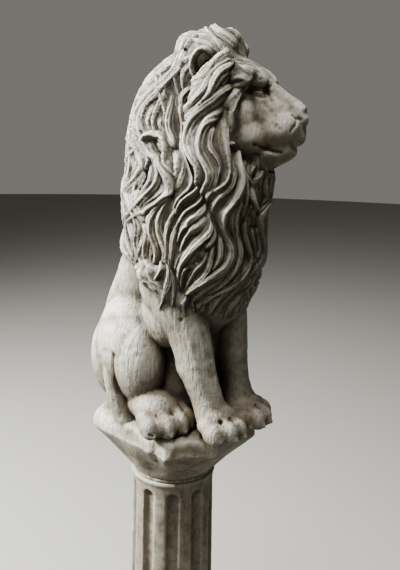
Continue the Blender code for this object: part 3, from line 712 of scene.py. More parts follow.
backLocks = {                                # angles in degrees, from the chest round to the lion's right
    "rows": ((0.640, 0.440, 0.0), (0.520, 0.350, 7.0), (0.420, 0.250, 3.0)),    # from, to, shift round
    "count": 12,
    "firstAngle": 98,
    "apart": 15,
    "wave": 6.5,
    "wavelength": 0.100,
    "sweep": 9,                              # towards the sides over the whole length
    "halfWidth": 0.0105,
    "lift": 0.0080,
    "strands": 4,
}


def backGuides(tree, chance):               # long waved locks where the photo doesn't reach
    for start, end, shift in backLocks["rows"]:
        for i in range(backLocks["count"]):
            angle = backLocks["firstAngle"] + backLocks["apart"] * i + shift + chance.uniform(-3, 3)
            toSide = 1.0 if angle < 180 else -1.0
            stop = max(end + chance.uniform(-0.02, 0.02), float(hemHeight(math.radians(angle))) - 0.012)
            path = []
            for k in range(31):
                t = k / 30
                height = start + (stop - start) * t
                phase = math.tau * (start - height) / backLocks["wavelength"] + 0.5 * i * toSide
                wave = backLocks["wave"] * math.sin(phase)
                path.append(manePoint(height, angle + wave - toSide * backLocks["sweep"] * t))
            addLock(tree, path, backLocks["halfWidth"], backLocks["lift"], backLocks["strands"],
                    chance.choice((-1, 1)))


fill = {
    "spacing": 0.0102,
    "halfWidth": 0.68,                       # this and the next three are shares of the spacing
    "roomToStart": 0.52,
    "roomToGrow": 0.30,
    "ownReach": 0.30,
    "lockReach": 0.46,                       # share of a long lock's half width
    "lift": 0.0034,
    "strands": 3,
    "stride": 0.0032,
    "flowReach": 0.012,
    "cell": 0.01,
    "starts": 6000,
}


def fillLocks(tree, starts):                # short locks along the flow wherever none lies yet
    spacing = fill["spacing"]
    flow = [(Vector(p), Vector(a)) for lock in locks for p, a in zip(lock["points"], lock["ahead"])]
    guides = KDTree(len(flow))
    for i, (point, ahead) in enumerate(flow):
        guides.insert(point, i)
    guides.balance()
    cells = {}

    def cellOf(point):
        return tuple(int(value // fill["cell"]) for value in point)

    def mark(point, radius):
        cells.setdefault(cellOf(point), []).append((point, radius))

    def room(point):                         # free distance to the nearest lock
        x, y, z = cellOf(point)
        free = 1.0
        for i in (x - 1, x, x + 1):
            for j in (y - 1, y, y + 1):
                for k in (z - 1, z, z + 1):
                    for place, radius in cells.get((i, j, k), ()):
                        free = min(free, (place - point).length - radius)
        return free

    def grow(start, way):
        point, line = start, []
        for step in range(26):
            ahead = Vector()
            for place, index, gap in guides.find_n(point, 8):
                ahead += flow[index][1] * math.exp(-(gap / fill["flowReach"]) ** 2)
            if ahead.length < 1e-6:
                break
            point = tree.find_nearest(point + ahead.normalized() * way * fill["stride"])[0]
            if room(point) < fill["roomToGrow"] * spacing or maneShare(np.array([point]))[0] < 0.5:
                break
            line.append(point)
        return line

    for lock in locks:
        for point in lock["points"][::2]:
            mark(Vector(point), lock["halfWidth"] * fill["lockReach"])
    made = 0
    for start in starts:
        if room(start) < fill["roomToStart"] * spacing:
            continue
        path = grow(start, -1)[::-1] + [start] + grow(start, 1)
        if len(path) < 5:
            mark(start, 0.0)
            continue
        for point in path:
            mark(point, fill["ownReach"] * spacing)
        lift = fill["lift"] * (0.7 + 0.3 * (made % 3))
        addLock(tree, path, fill["halfWidth"] * spacing, lift, fill["strands"], 1 - 2 * (made % 2))
        made += 1
    print("filled with", made, "locks")


hairAhead = []                               # from findHairline: heights, and how far ahead the face starts


def findHairline(tree):
    rows = sorted((point.z, (point - headCentre).dot(headAhead)) for point in tracedPath(tree, hairline))
    hairAhead[:] = [np.array(column) for column in zip(*rows)]


def easedStep(values):
    values = np.clip(values, 0.0, 1.0)
    return values * values * (3 - 2 * values)


def faceShare(places):                       # 1 on the face, 0 elsewhere
    ahead = (places[:, :2] - np.array(headCentre.xy)) @ np.array(headAhead.xy)
    start = np.interp(places[:, 2], *hairAhead)
    chin = np.interp(ahead, mane["chinAhead"], mane["chinHeights"])
    return (easedStep((ahead - start) / mane["hairlineDepth"] + 0.5)
            * easedStep((places[:, 2] - chin) / mane["chinBlend"]))


def maneShare(places):                       # 1 on the mane, 0 on the face and the body
    angle = np.arctan2(-places[:, 0], -(places[:, 1] + 0.045))
    above = easedStep((places[:, 2] - hemHeight(angle)) / mane["hemDepth"] + 0.5)
    return above * (1 - faceShare(places))


def lockHeights(places, lowest):             # the highest lock at each point, and where on it the point lies
    shape = lockShape
    soft = mane["blend"]
    total = np.exp(lowest / soft)
    best = lowest.copy()
    strand = np.zeros((len(places), 3), dtype=np.float32)
    for lock in locks:
        points, halfWidth = lock["points"], lock["halfWidth"]
        reach = halfWidth * 1.8 + 0.004
        inside = (places > points.min(axis=0) - reach) & (places < points.max(axis=0) + reach)
        close = np.nonzero(inside.all(axis=1))[0]
        if not len(close):
            continue
        spots = places[close]
        nearest = np.empty(len(close), dtype=np.int64)
        for first in range(0, len(close), 20000):
            part = spots[first:first + 20000]
            gaps = (part ** 2).sum(axis=1)[:, None] + (points ** 2).sum(axis=1)[None] - 2 * part @ points.T
            nearest[first:first + 20000] = gaps.argmin(axis=1)
        gap = spots - points[nearest]
        kept = (gap ** 2).sum(axis=1) < reach ** 2
        close, nearest, gap = close[kept], nearest[kept], gap[kept]
        cross = (gap * lock["asides"][nearest]).sum(axis=1)
        beyond = (gap * lock["ahead"][nearest]).sum(axis=1)
        run = lock["runs"][nearest]
        share = run / lock["runs"][-1]
        width = halfWidth * (shape["root"] + shape["growth"] * easedStep(share * shape["growthRate"]))
        width = width * (1 - shape["taper"] * easedStep((share - shape["taperStart"]) / shape["taperRun"]))
        sway = shape["sway"] * np.sin(run * shape["swayRate"] + lock["number"])
        across = cross / width + sway * 0.5
        steep = np.where(across * lock["tilt"] > 0, shape["steepFlank"], shape["easyFlank"])
        radius = np.sqrt((across * steep) ** 2 + (beyond / halfWidth) ** 2)
        height = (lock["lift"] + mane["hollow"]) * (0.75 + 0.25 * np.sin(math.pi * share) ** 0.7)
        height = height * np.exp(-shape["fall"] * radius ** shape["fallPower"]) - mane["hollow"]
        groove = np.abs(np.sin(math.pi * (lock["strands"] * 0.5 * across + sway)))
        height -= mane["strandDepth"] * (1 - groove) * np.clip(1.5 - radius, 0, 1)
        total[close] += np.exp(height / soft)
        better = height > best[close]
        best[close[better]] = height[better]
        strand[close[better], 0] = run[better]
        strand[close[better], 1] = cross[better] + lock["number"] * 0.37
        strand[close[better], 2] = 1.0
    return soft * np.log(total), strand


# Strokes on the finished figure, on the lion's right: points and width in pixels, depth in mm.
# A negative depth raises a ridge.
faceMarks = {
    "socket": ([(251, 88), (256, 91), (263, 92), (270, 91)], 2.8, 1.4),
    "browShadow": ([(251, 86), (257, 88), (264, 88), (271, 86)], 1.2, 2.2),
    "innerEye": ([(267, 90), (270, 94), (272, 99)], 2.0, 2.4),
    "eyeball": ([(256, 92), (260, 93)], 2.6, -5.6),
    "lowerLid": ([(252, 92), (256, 96), (261, 97), (266, 97)], 1.0, 1.2),
    "eyeBag": ([(257, 98), (263, 101)], 2.2, -1.2),
    "tearCrease": ([(264, 102), (268, 107), (272, 111)], 1.8, 1.6),
    "mouth": ([(255, 145), (261, 147), (268, 149), (275, 151), (281, 152)], 1.3, 3.6),
    "mouthCorner": ([(254, 145), (256, 146)], 1.4, 2.0),
    "lowerLip": ([(258, 151), (266, 153), (276, 156)], 2.2, -1.6),
    "noseWing": ([(293, 115), (297, 119), (296, 124), (291, 131)], 1.5, 2.8),
    "nostril": ([(297, 118), (301, 119)], 1.8, 2.6),
    "lipBulge": ([(272, 134), (280, 132)], 7.0, -1.6),
    "whiskersLow": ([(275, 127), (277, 125)], 1.2, 1.8),
    "whiskersMiddle": ([(279, 128), (280, 129)], 1.0, 1.2),
    "whiskersBack": ([(262, 129), (262.5, 129)], 1.0, 1.2),
    "whiskersHigh": ([(275, 115), (276, 116)], 1.0, 1.0),
    "browPit": ([(257, 71), (259, 72)], 1.2, 1.8),
    "browDrill": ([(260, 79), (260.5, 79)], 1.0, 1.8),
    "nosePit": ([(292, 108), (292.5, 108)], 1.2, 1.6),
}
bodyMarks = {
    "thighTop": ([(121, 309), (131, 307), (141, 310), (142, 318), (137, 326)], 3.6, 0.8),
    "thighHollow": ([(112, 318), (122, 330), (126, 344)], 8.0, 0.8),
    "hockShelf": ([(104, 350), (110, 351), (114, 356)], 3.4, 1.4),
    "hockCrease": ([(113, 355), (113, 366), (115, 380), (119, 393)], 2.0, 3.0),
    "seamBead": ([(150, 276), (149, 292), (148, 311), (139, 325), (129, 344), (126, 354), (127, 370),
        (129, 386), (131, 403)], 1.1, -0.6),
    "pawRim": ([(149, 435), (158, 438), (170, 438), (182, 435), (191, 431)], 1.2, 3.0),
    "baseDent": ([(153, 448), (154, 455), (156, 462)], 4.5, 3.0),
    "baseKnob": ([(163, 451), (164, 460)], 4.5, -2.2),
    "cornerRidge": ([(173, 441), (172, 449), (168, 457), (165, 464)], 3.6, -2.2),
    "rightFacet": ([(190, 448), (200, 455), (205, 462)], 7.0, 2.4),
    "wrist": ([(196, 372), (205, 371), (214, 374)], 4.0, 1.0),
    "legTendon": ([(203, 336), (208, 356), (212, 376)], 4.0, 1.0),
    "shin": ([(188, 330), (193, 352), (199, 374)], 5.0, -1.2),
}
holes = {                                    # air holes left by the casting: pixel, width in mm, depth in mm
    "bigToe": ((221, 422), 3.0, 9.0),
    "toeTop": ((234, 415), 1.8, 4.0),
    "leg": ((181, 320), 3.0, 3.0),
    "cheek": ((258, 127), 1.2, 1.0),
}
pits = {"count": 60, "widths": (0.0014, 0.0022), "depths": (0.0010, 0.0024), "heights": (-0.08, 0.60)}


def strokesFrom(tree, marks):
    strokes = []
    for points, width, depth in marks.values():
        path = tracedPath(tree, points)
        wide = width * mane["metresPerPixel"]
        for side in (path, [mirrored(point) for point in path]):
            strokes.append(([tuple(point) for point in side], wide, depth * 0.001))
    return strokes


def holeStrokes(tree):
    chance = random.Random(21)
    rays = []
    for pixel, width, depth in holes.values():
        rays.append((viewPlace, pixelRay(*pixel), width * 0.001, depth * 0.001))
    for number in range(pits["count"]):
        angle = chance.uniform(0, math.tau)
        height = chance.uniform(*pits["heights"])
        origin = Vector((0.6 * math.cos(angle), 0.6 * math.sin(angle), height))
        target = Vector((0, -0.03, height + chance.uniform(-0.05, 0.05)))
        rays.append((origin, (target - origin).normalized(), chance.uniform(*pits["widths"]),
                     chance.uniform(*pits["depths"])))
    strokes = []
    for origin, ray, width, depth in rays:
        hit = tree.ray_cast(origin, ray)[0]
        if hit is not None:
            strokes.append(([tuple(hit), tuple(hit + ray * 0.001)], width, depth))
    return strokes


base = {
    "sides": (                               # of the plan: degrees they face, distance from the axis
        (0, 0.1180), (64, 0.1350), (90, 0.1180), (116, 0.1350),
        (180, 0.1180), (228, 0.1490), (270, 0.1500), (312, 0.1490),
    ),
    "slab": 0.034,
    "edgeRounding": 0.015,
    "neck": 0.079,
    "flare": 0.95,                           # below 1 the sides bulge, above 1 they sink in
    "facets": 0.0075,
    "facetsAround": 2.4,
    "facetsUp": 17,
    "facetsFade": 0.02,                      # towards the neck and the slab's upper edge
    "segments": 144,
    "taperRows": 12,
    "slabRows": 8,
}


def baseReach(angle, level):
    plan = 1.0
    for faces, distance in base["sides"]:
        slant = math.cos(angle - math.radians(faces))
        if slant > 0.1:
            plan = min(plan, distance / slant)
    if level >= -base["slab"]:
        rounding = base["edgeRounding"]
        depth = max(0.0, rounding + level)
        return plan - rounding + math.sqrt(max(0.0, rounding ** 2 - depth ** 2))
    share = max(0.0, (level + baseHeight) / (baseHeight - base["slab"]))
    return base["neck"] + (plan - base["neck"]) * share ** base["flare"]


def rockyBase(bm):
    part = bmesh.new()
    ring = bmesh.ops.create_circle(part, segments=base["segments"], radius=1.0, cap_ends=True)["verts"]
    rows, slabRows = base["taperRows"], base["slabRows"]
    levels = [-baseHeight * 1.1]
    levels += [-baseHeight + (baseHeight - base["slab"]) * k / rows for k in range(rows + 1)]
    levels += [-base["slab"] * (1 - k / slabRows) for k in range(1, slabRows + 1)]
    for number, level in enumerate(levels):
        edges = [e for e in part.edges if e.verts[0] in ring and e.verts[1] in ring]
        if number:
            made = bmesh.ops.extrude_edge_only(part, edges=edges)["geom"]
            ring = [v for v in made if isinstance(v, bmesh.types.BMVert)]
        for vert in ring:
            angle = math.atan2(vert.co.y, vert.co.x)
            reach = baseReach(angle, level)
            around = base["facetsAround"]
            spot = Vector((math.cos(angle) * around, math.sin(angle) * around, level * base["facetsUp"]))
            fromNeck = min(1.0, max(0.0, (level + baseHeight) / base["facetsFade"]))
            fromTop = min(1.0, max(0.0, -level / base["facetsFade"]))
            reach += base["facets"] * noise.noise(spot) * (fromNeck * fromTop)
            vert.co = (reach * math.cos(angle), reach * math.sin(angle), level)
    edges = [e for e in part.edges if e.verts[0] in ring and e.verts[1] in ring]
    bmesh.ops.contextual_create(part, geom=edges)
    addTo(bm, part)


def roughened(mesh, strength, scale, seed):  # weathers a surface with noise along its normals
    places, normals = vertexArrays(mesh)
    shift = Vector((seed, seed * 1.7, seed * 2.3))
    amounts = np.array([
        noise.noise(Vector(p) * scale + shift) + 0.5 * noise.noise(Vector(p) * scale * 2.3 + shift)
        for p in places
    ])
    setPlaces(mesh, places + normals * (amounts * strength)[:, None])


def neighbourMean(values, ends, count):
    total = np.zeros_like(values)
    np.add.at(total, ends[:, 0], values[ends[:, 1]])
    np.add.at(total, ends[:, 1], values[ends[:, 0]])
    return total / count[:, None]


def edgeEnds(mesh):
    ends = np.empty(len(mesh.edges) * 2, dtype=np.int64)
    mesh.edges.foreach_get("vertices", ends)
    ends = ends.reshape(-1, 2)
    count = np.bincount(ends.ravel(), minlength=len(mesh.vertices)).astype(float)
    count[count == 0] = 1.0
    return ends, count


hollowSteps = {"fine": 4, "broad": 40}
hollowShares = {"fine": 0.6, "broad": 0.4}


def markGrimeAndShade(mesh, fine, broad):           # how deep each point lies, as an attribute from 0 to 1; the stone's colour darkens deep points with dirt and painted shade and lightens proud ones with wear and painted highlight
    places, normals = vertexArrays(mesh)
    ends, count = edgeEnds(mesh)
    eased = places.copy()
    values = {}
    for step in range(1, hollowSteps["broad"] + 1):
        eased = 0.4 * eased + 0.6 * neighbourMean(eased, ends, count)
        if step in hollowSteps.values():
            values[step] = ((eased - places) * normals).sum(axis=1)
    deep = (np.clip(values[hollowSteps["fine"]] / fine, -1, 1) * hollowShares["fine"]
            + np.clip(values[hollowSteps["broad"]] / broad, -1, 1) * hollowShares["broad"])
    attribute = mesh.attributes.new("grime", "FLOAT", "POINT")
    attribute.data.foreach_set("value", (0.5 + 0.5 * deep).astype(np.float32))


weatherAndShade = {
    "lift": 0.0006,                          # rays start this far off the surface
    "farHit": 0.6,                           # a hit at full reach counts less by this share
    "downFacingShare": 0.40,                       # upper faces stay clean and pale from rain, with painted light from above; down-facing faces get painted shade
    "upFacingShare": 0.60,
    "upFacingFrom": 0.75,
}


def markSkyOpenness(mesh, rays, reach):         # how open each point lies to the sky, from 0 to 1, lowered where it faces down; the stone's colour takes painted shade where this is low and painted highlight where it is high, besides weathering
    places, normals = vertexArrays(mesh)
    tree = treeOf(mesh)
    chance = np.random.default_rng(5)
    turns = math.tau * (np.arange(rays) * 0.618 + chance.random((len(places), 1)))
    rises = np.sqrt((np.arange(rays) + 0.5) / rays)
    steady = np.where(np.abs(normals[:, 2:]) < 0.9, [[0.0, 0.0, 1.0]], [[1.0, 0.0, 0.0]])
    side = np.cross(normals, steady)
    side /= np.linalg.norm(side, axis=1)[:, None]
    other = np.cross(normals, side)
    flat = np.sqrt(1 - rises ** 2)
    rayWays = (normals[:, None] * rises[None, :, None] + side[:, None] * (np.cos(turns) * flat)[:, :, None]
               + other[:, None] * (np.sin(turns) * flat)[:, :, None])
    openness = np.empty(len(places))
    for i, (place, normal) in enumerate(zip(places, normals)):
        start = Vector(place + normal * weatherAndShade["lift"])
        hits = 0.0
        for way in rayWays[i].tolist():
            gap = tree.ray_cast(start, way, reach)[3]
            if gap is not None:
                hits += 1 - weatherAndShade["farHit"] * gap / reach
        openness[i] = 1 - hits / rays
    ends, count = edgeEnds(mesh)
    for step in range(2):
        openness = 0.5 * openness + 0.5 * neighbourMean(openness[:, None], ends, count)[:, 0]
    upward = np.clip(normals[:, 2] + weatherAndShade["upFacingFrom"], 0, 1)
    openness *= weatherAndShade["downFacingShare"] + weatherAndShade["upFacingShare"] * upward
    attribute = mesh.attributes.new("exposure", "FLOAT", "POINT")
    attribute.data.foreach_set("value", openness.astype(np.float32))


def treeOf(mesh):
    bm = bmesh.new()
    bm.from_mesh(mesh)
    tree = BVHTree.FromBMesh(bm)
    bm.free()
    return tree


lionCuts = {
    "voxel": 0.0017,
    "easing": 18,
    "triangles": 196000,
    "roughness": 0.0005,
    "roughnessScale": 90.0,
    "maneShare": 0.6,                        # fill locks start where this much of the mane is reached
}


def lionCore():                              # the smooth figure without locks and base
    body = bmesh.new()
    torso(body)
    for side in (-1, 1):
        hindLeg(body, side)
        foreLeg(body, side)
    tail(body)
    head(body)
    maneCore(body)
    for side in (-1, 1):
        for kind in paws.values():
            paw(body, side, **kind)
    core = remeshed(body, lionCuts["voxel"], lionCuts["easing"])
    print("body shaped", len(core.vertices))
    return core


def layLocks(core, tree):
    chance = random.Random(7)
    for pixels, width, lift in tracedLocks.values():
        path = tracedPath(tree, pixels)
        halfWidth = 0.5 * width * mane["metresPerPixel"] * mane["widening"]
        strands = max(2, round(mane["strandsPerPixel"] * width))
        tilt = chance.choice((-1, 1))
        addLock(tree, path, halfWidth, lift * mane["shownLift"], strands, tilt)
        farPath = hiddenRun(tree, [mirrored(point) for point in path])
        if len(farPath) > hidden["shortest"]:
            addLock(tree, farPath, halfWidth, lift * mane["hiddenLift"], strands, -tilt)
    backGuides(tree, chance)
    places = vertexArrays(core)[0]
    spots = np.nonzero(maneShare(places) > lionCuts["maneShare"])[0]
    order = random.Random(3)
    starts = [Vector(places[i]) for i in order.sample(list(spots), min(fill["starts"], len(spots)))]
    fillLocks(tree, starts)
    print("locks laid", len(locks))


def carvedLion():
    core = lionCore()
    tree = treeOf(core)
    findHairline(tree)
    layLocks(core, tree)
    figure = bmesh.new()
    figure.from_mesh(core)
    rockyBase(figure)
    mesh = remeshed(figure, lionCuts["voxel"], 2, 0.4)
    print("carved", len(mesh.polygons))
    scored(mesh, strokesFrom(tree, tracedHollows))
    places, normals = vertexArrays(mesh)
    share = maneShare(places)
    heights, strand = lockHeights(places, -mane["hollow"] * share)
    heights *= 1 - faceShare(places)
    setPlaces(mesh, places + normals * (heights + mane["swell"] * share)[:, None])
    carved = treeOf(mesh)
    scored(mesh, strokesFrom(carved, faceMarks) + strokesFrom(carved, bodyMarks) + toeStrokes()
           + holeStrokes(carved))
    roughened(mesh, lionCuts["roughness"], lionCuts["roughnessScale"], 3.0)
    attribute = mesh.attributes.new("strand", "FLOAT_VECTOR", "POINT")
    attribute.data.foreach_set("vector", strand.ravel())
    mesh = thinned(mesh, lionCuts["triangles"])
    places = vertexArrays(mesh)[0]
    places[:, 2] = np.maximum(places[:, 2], -baseHeight)
    places[:, 2] += figureZ
    setPlaces(mesh, places)
    print("thinned", len(mesh.polygons))
    return mesh


def finishedPiece(name, mesh, material, node):
    piece = bpy.data.objects.new(name, mesh)
    bpy.context.scene.collection.objects.link(piece)
    mesh.materials.clear()
    mesh.materials.append(material)
    mesh.shade_smooth()
    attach(piece, "root")
    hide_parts(node)


# Materials

class Wire:                                  # a socket that can be reckoned with
    def __init__(self, board, socket):
        self.board = board
        self.socket = socket

    def reckon(self, operation, first, second):
        return self.board.node("ShaderNodeMath", {"operation": operation}, {0: first, 1: second})

    def __add__(self, other):
        return self.reckon("ADD", self, other)

    def __radd__(self, other):
        return self.reckon("ADD", other, self)

    def __sub__(self, other):
        return self.reckon("SUBTRACT", self, other)

    def __rsub__(self, other):
        return self.reckon("SUBTRACT", other, self)

    def __mul__(self, other):
        return self.reckon("MULTIPLY", self, other)

    def __rmul__(self, other):
        return self.reckon("MULTIPLY", other, self)


class Board:                                 # a material's node tree
    def __init__(self, name):
        self.material = bpy.data.materials.new(name)
        self.material.use_nodes = True
        self.tree = self.material.node_tree
        self.tree.nodes.clear()

    def node(self, kind, settings, sockets, output=0):
        made = self.tree.nodes.new(kind)
        for key, value in settings.items():
            if key == "stops":
                while len(made.color_ramp.elements) < len(value):
                    made.color_ramp.elements.new(0.5)
                for element, (place, shade) in zip(made.color_ramp.elements, value):
                    element.position = place
                    element.color = (shade, shade, shade, 1.0)
            else:
                setattr(made, key, value)
        for key, value in sockets.items():
            if isinstance(value, Wire):
                self.tree.links.new(value.socket, made.inputs[key])
            elif isinstance(value, tuple) and len(value) == 3 and made.inputs[key].type == "RGBA":
                made.inputs[key].default_value = (*value, 1.0)
            else:
                made.inputs[key].default_value = value
        return Wire(self, made.outputs[output]) if made.outputs else None

    def noise(self, place, scale, detail=4.0, roughness=0.55):
        return self.node("ShaderNodeTexNoise", {}, {
            "Vector": place, "Scale": scale, "Detail": detail, "Roughness": roughness,
        })

    def stretched(self, place, scale):
        return self.node("ShaderNodeVectorMath", {"operation": "MULTIPLY"}, {0: place, 1: scale})

    def ramp(self, value, *stops):
        return self.node("ShaderNodeValToRGB", {"stops": stops}, {0: value})

    def mixed(self, share, first, second):   # sockets 6 and 7 and output 2 are the node's colour ones
        return self.node("ShaderNodeMix", {"data_type": "RGBA"}, {0: share, 6: first, 7: second}, 2)

    def objectPlace(self):
        return self.node("ShaderNodeTexCoord", {}, {}, 3)

    def attribute(self, name, output=2):     # output 2 is the number, 1 the vector
        return self.node("ShaderNodeAttribute", {"attribute_name": name}, {}, output)

    def heightOf(self, vector):
        return self.node("ShaderNodeSeparateXYZ", {}, {0: vector}, 2)

    def finished(self, sockets):
        shader = self.node("ShaderNodeBsdfPrincipled", {}, sockets)
        self.node("ShaderNodeOutputMaterial", {}, {"Surface": shader})
        return self.material


lionStone = {
    "body": (0.082, 0.067, 0.042),
    "lichen": (0.108, 0.098, 0.070),
    # pale: wear, and painted highlight on proud, open places
    "pale": (0.34, 0.335, 0.29),
    # brown: stains, and painted shade in sheltered and down-facing places
    "brown": (0.046, 0.032, 0.0165),
    # near-black: dirt, and painted shade in the hollows and the locks' fine grooves
    "grime": (0.009, 0.007, 0.0045),
    "roughness": 0.68,
    "specular": 0.28,
}
columnStone = {
    "body": (0.094, 0.078, 0.052),
    "lichen": (0.115, 0.100, 0.072),
    # pale: wear, and painted highlight on proud, open places
    "pale": (0.30, 0.28, 0.225),
    # brown: stains, and painted shade in sheltered and down-facing places
    "brown": (0.052, 0.038, 0.022),
    # near-black: dirt, and painted shade in the hollows
    "grime": (0.012, 0.009, 0.0055),
    "roughness": 0.76,
    "specular": 0.28,
}


def stoneMaterial(name, recipe, streaks, strands):
    board = Board(name)
    place = board.objectPlace()
    grime = board.attribute("grime")
    exposure = board.attribute("exposure")
    clouds = board.noise(place, 9.0, 5.0)
    blotches = board.noise(place, 38.0, 6.0, 0.62)
    specks = board.noise(place, 420.0, 3.0, 0.7)
    # the stone's own colour, stained in blotches and streaks
    colour = board.mixed(board.ramp(clouds, (0.35, 0.0), (0.68, 1.0)), recipe["body"], recipe["lichen"])
    colour = board.mixed(board.ramp(blotches, (0.46, 0.0), (0.70, 0.75)), colour, recipe["brown"])
    if streaks:
        runs = board.noise(board.stretched(place, (46.0, 46.0, 5.0)), 1.0, 5.0, 0.6)
        colour = board.mixed(board.ramp(runs, (0.48, 0.0), (0.72, 0.8)), colour, recipe["brown"])
    # paler where it stands proud and open: wear and painted highlight; brown in sheltered and down-facing
    # places: stains and painted shade; and browner in a band just above the slab
    wearAndHighlight = board.ramp(grime + (blotches - 0.5) * 0.35, (0.08, 1.0), (0.50, 0.0))
    wearAndHighlight = wearAndHighlight * board.ramp(exposure, (0.45, 0.0), (1.0, 1.0))
    colour = board.mixed(wearAndHighlight * 0.62, colour, recipe["pale"])
    stainAndShade = board.ramp(exposure + (blotches - 0.5) * 0.22, (0.25, 1.0), (0.52, 0.55), (0.82, 0.0))
    colour = board.mixed(stainAndShade * 0.85, colour, recipe["brown"])
    level = board.heightOf(place) - figureZ
    low = board.ramp(level * 5.0, (0.0, 0.0), (0.04, 1.0), (0.30, 0.8), (0.62, 0.0))
    colour = board.mixed(low * board.ramp(clouds, (0.30, 0.35), (0.62, 0.75)), colour, recipe["brown"])
    # dark dirt and painted shade in the hollows, and specks and flecks of dirt all over
    depth = grime + (blotches - 0.5) * 0.25 - (exposure - 0.6) * 0.35
    dirtAndShade = board.ramp(depth, (0.52, 0.0), (0.62, 0.60), (0.78, 1.0))
    colour = board.mixed(dirtAndShade * 0.84, colour, recipe["grime"])
    colour = board.mixed(board.ramp(specks, (0.58, 0.0), (0.74, 0.5)), colour, recipe["grime"])
    flecks = board.noise(place, 165.0, 5.0, 0.7)
    patches = board.ramp(clouds + stainAndShade * 0.12 + low * 0.16, (0.42, 0.15), (0.62, 1.0))
    colour = board.mixed(board.ramp(flecks, (0.53, 0.0), (0.64, 0.62)) * patches, colour, recipe["grime"])
    # the surface's relief
    grain = board.noise(place, 900.0, 4.0, 0.7)
    pocks = board.node("ShaderNodeTexVoronoi", {"feature": "F1"}, {"Vector": place, "Scale": 150.0})
    pockRims = board.ramp(pocks, (0.06, 0.0), (0.16, 1.0))
    height = grain * 0.30 + pockRims * 0.45 + blotches * 1.2 + flecks * 0.5
    if strands:                              # fine lines along the locks, short fur on the body
        strand = board.attribute("strand", 1)
        parts = board.heightOf(strand)
        lines = board.noise(board.stretched(strand, (20.0, 330.0, 0.0)), 1.0, 4.0, 0.6)
        fur = board.noise(board.stretched(place, (190.0, 190.0, 30.0)), 1.0, 3.0, 0.6)
        hair = board.ramp(parts, (0.3, 0.0), (0.8, 1.0))
        height = height + lines * hair * 3.4 + fur * (2.4 - hair * 1.6)
        # painted shade: dark in the fine grooves between strands; painted highlight: pale on their ridges
        dark = board.ramp(lines, (0.32, 1.0), (0.47, 0.0))
        colour = board.mixed(dark * hair * 0.55, colour, recipe["grime"])
        pale = board.ramp(lines, (0.56, 0.0), (0.72, 1.0))
        colour = board.mixed(pale * hair * 0.35, colour, recipe["pale"])
    bump = board.node("ShaderNodeBump", {}, {"Strength": 0.8, "Distance": 0.0014, "Height": height})
    rough = board.ramp(blotches, (0.3, recipe["roughness"] - 0.14), (0.7, recipe["roughness"] + 0.12))
    return board.finished({
        "Base Color": colour, "Roughness": rough, "Normal": bump, "Specular IOR Level": recipe["specular"],
    })


mortar = {
    "dark": (0.045, 0.038, 0.028),
    "sand": (0.24, 0.21, 0.16),
    "stain": (0.10, 0.09, 0.055),
    "roughness": 0.95,
    "rows": 10,
    "sides": 220,
    "inset": 0.002,                          # the bed's edge lies this far in and bulges out again
    "bulge": 0.004,
    "uneven": 0.022,
}


def mortarMaterial():
    board = Board("oldMortar")
    place = board.objectPlace()
    grains = board.noise(place, 260.0, 5.0, 0.7)
    clouds = board.noise(place, 30.0, 4.0)
    colour = board.mixed(board.ramp(grains, (0.42, 0.0), (0.66, 1.0)), mortar["dark"], mortar["sand"])
    colour = board.mixed(board.ramp(clouds, (0.5, 0.0), (0.7, 0.6)), colour, mortar["stain"])
    bump = board.node("ShaderNodeBump", {}, {"Strength": 0.9, "Distance": 0.002, "Height": grains})
    return board.finished({"Base Color": colour, "Roughness": mortar["roughness"], "Normal": bump})


# The column

column = {
    "foot": 0.250,
    "footHeight": 0.050,
    "footBevel": 0.006,
    "torus": 0.018,
    "torusOverhang": 0.004,
    "fillet": 0.010,
    "filletOverhang": 0.005,
    "shaftFoot": 0.088,
    "shaftTop": 0.077,
    "collar": 0.081,
    "collarHeight": 0.009,
    "collarRounding": 0.002,
    "flare": 0.024,
    "flutes": 10,
    "fluteWidth": 0.025,
    "fluteDepth": 0.009,
    "fluteTop": 0.012,
    "fluteFoot": 0.045,
    "sides": 160,
    "voxel": 0.0026,
    "triangles": 130000,
    "roughness": 0.0005,
    "roughnessScale": 60.0,
}
shaftZ = column["footHeight"] + 2 * column["torus"] + column["fillet"]


def shaftRadius(height):
    share = (height - shaftZ) / (columnHeight - shaftZ)
    return column["shaftFoot"] + (column["shaftTop"] - column["shaftFoot"]) * share


def columnProfile():
    collarZ = columnHeight - column["collarHeight"]
    rounding = column["collarRounding"]
    edge = column["collar"] - rounding
    outline = [(0.0, columnHeight), (edge, columnHeight), (column["collar"], columnHeight - rounding),
               (column["collar"], collarZ + rounding), (edge, collarZ)]
    flare = 0.7 * (edge - shaftRadius(collarZ))
    for k in range(1, 9):
        t = k / 8
        height = collarZ - column["flare"] * t
        outline.append((shaftRadius(height) + flare * (1 - t) ** 2, height))
    fillet = column["shaftFoot"] + column["filletOverhang"]
    outline += [(column["shaftFoot"], shaftZ), (fillet, shaftZ), (fillet, shaftZ - column["fillet"])]
    for k in range(17):
        turn = math.pi * (0.5 - k / 16)
        outline.append((column["shaftFoot"] + column["torusOverhang"] + column["torus"] * math.cos(turn),
                        column["footHeight"] + column["torus"] * (1 + math.sin(turn))))
    buried = column["footHeight"] / 2
    outline += [(column["shaftFoot"], buried), (0.0, buried)]
    return outline


def spun(profile, sides):
    part = bmesh.new()
    verts = [part.verts.new((radius, 0.0, height)) for radius, height in profile]
    edges = [part.edges.new(pair) for pair in zip(verts, verts[1:])]
    bmesh.ops.spin(part, geom=[*verts, *edges], cent=(0, 0, 0), axis=(0, 0, 1),
                   angle=math.tau, steps=sides, use_merge=True)
    bmesh.ops.remove_doubles(part, verts=part.verts, dist=1e-5)
    return part


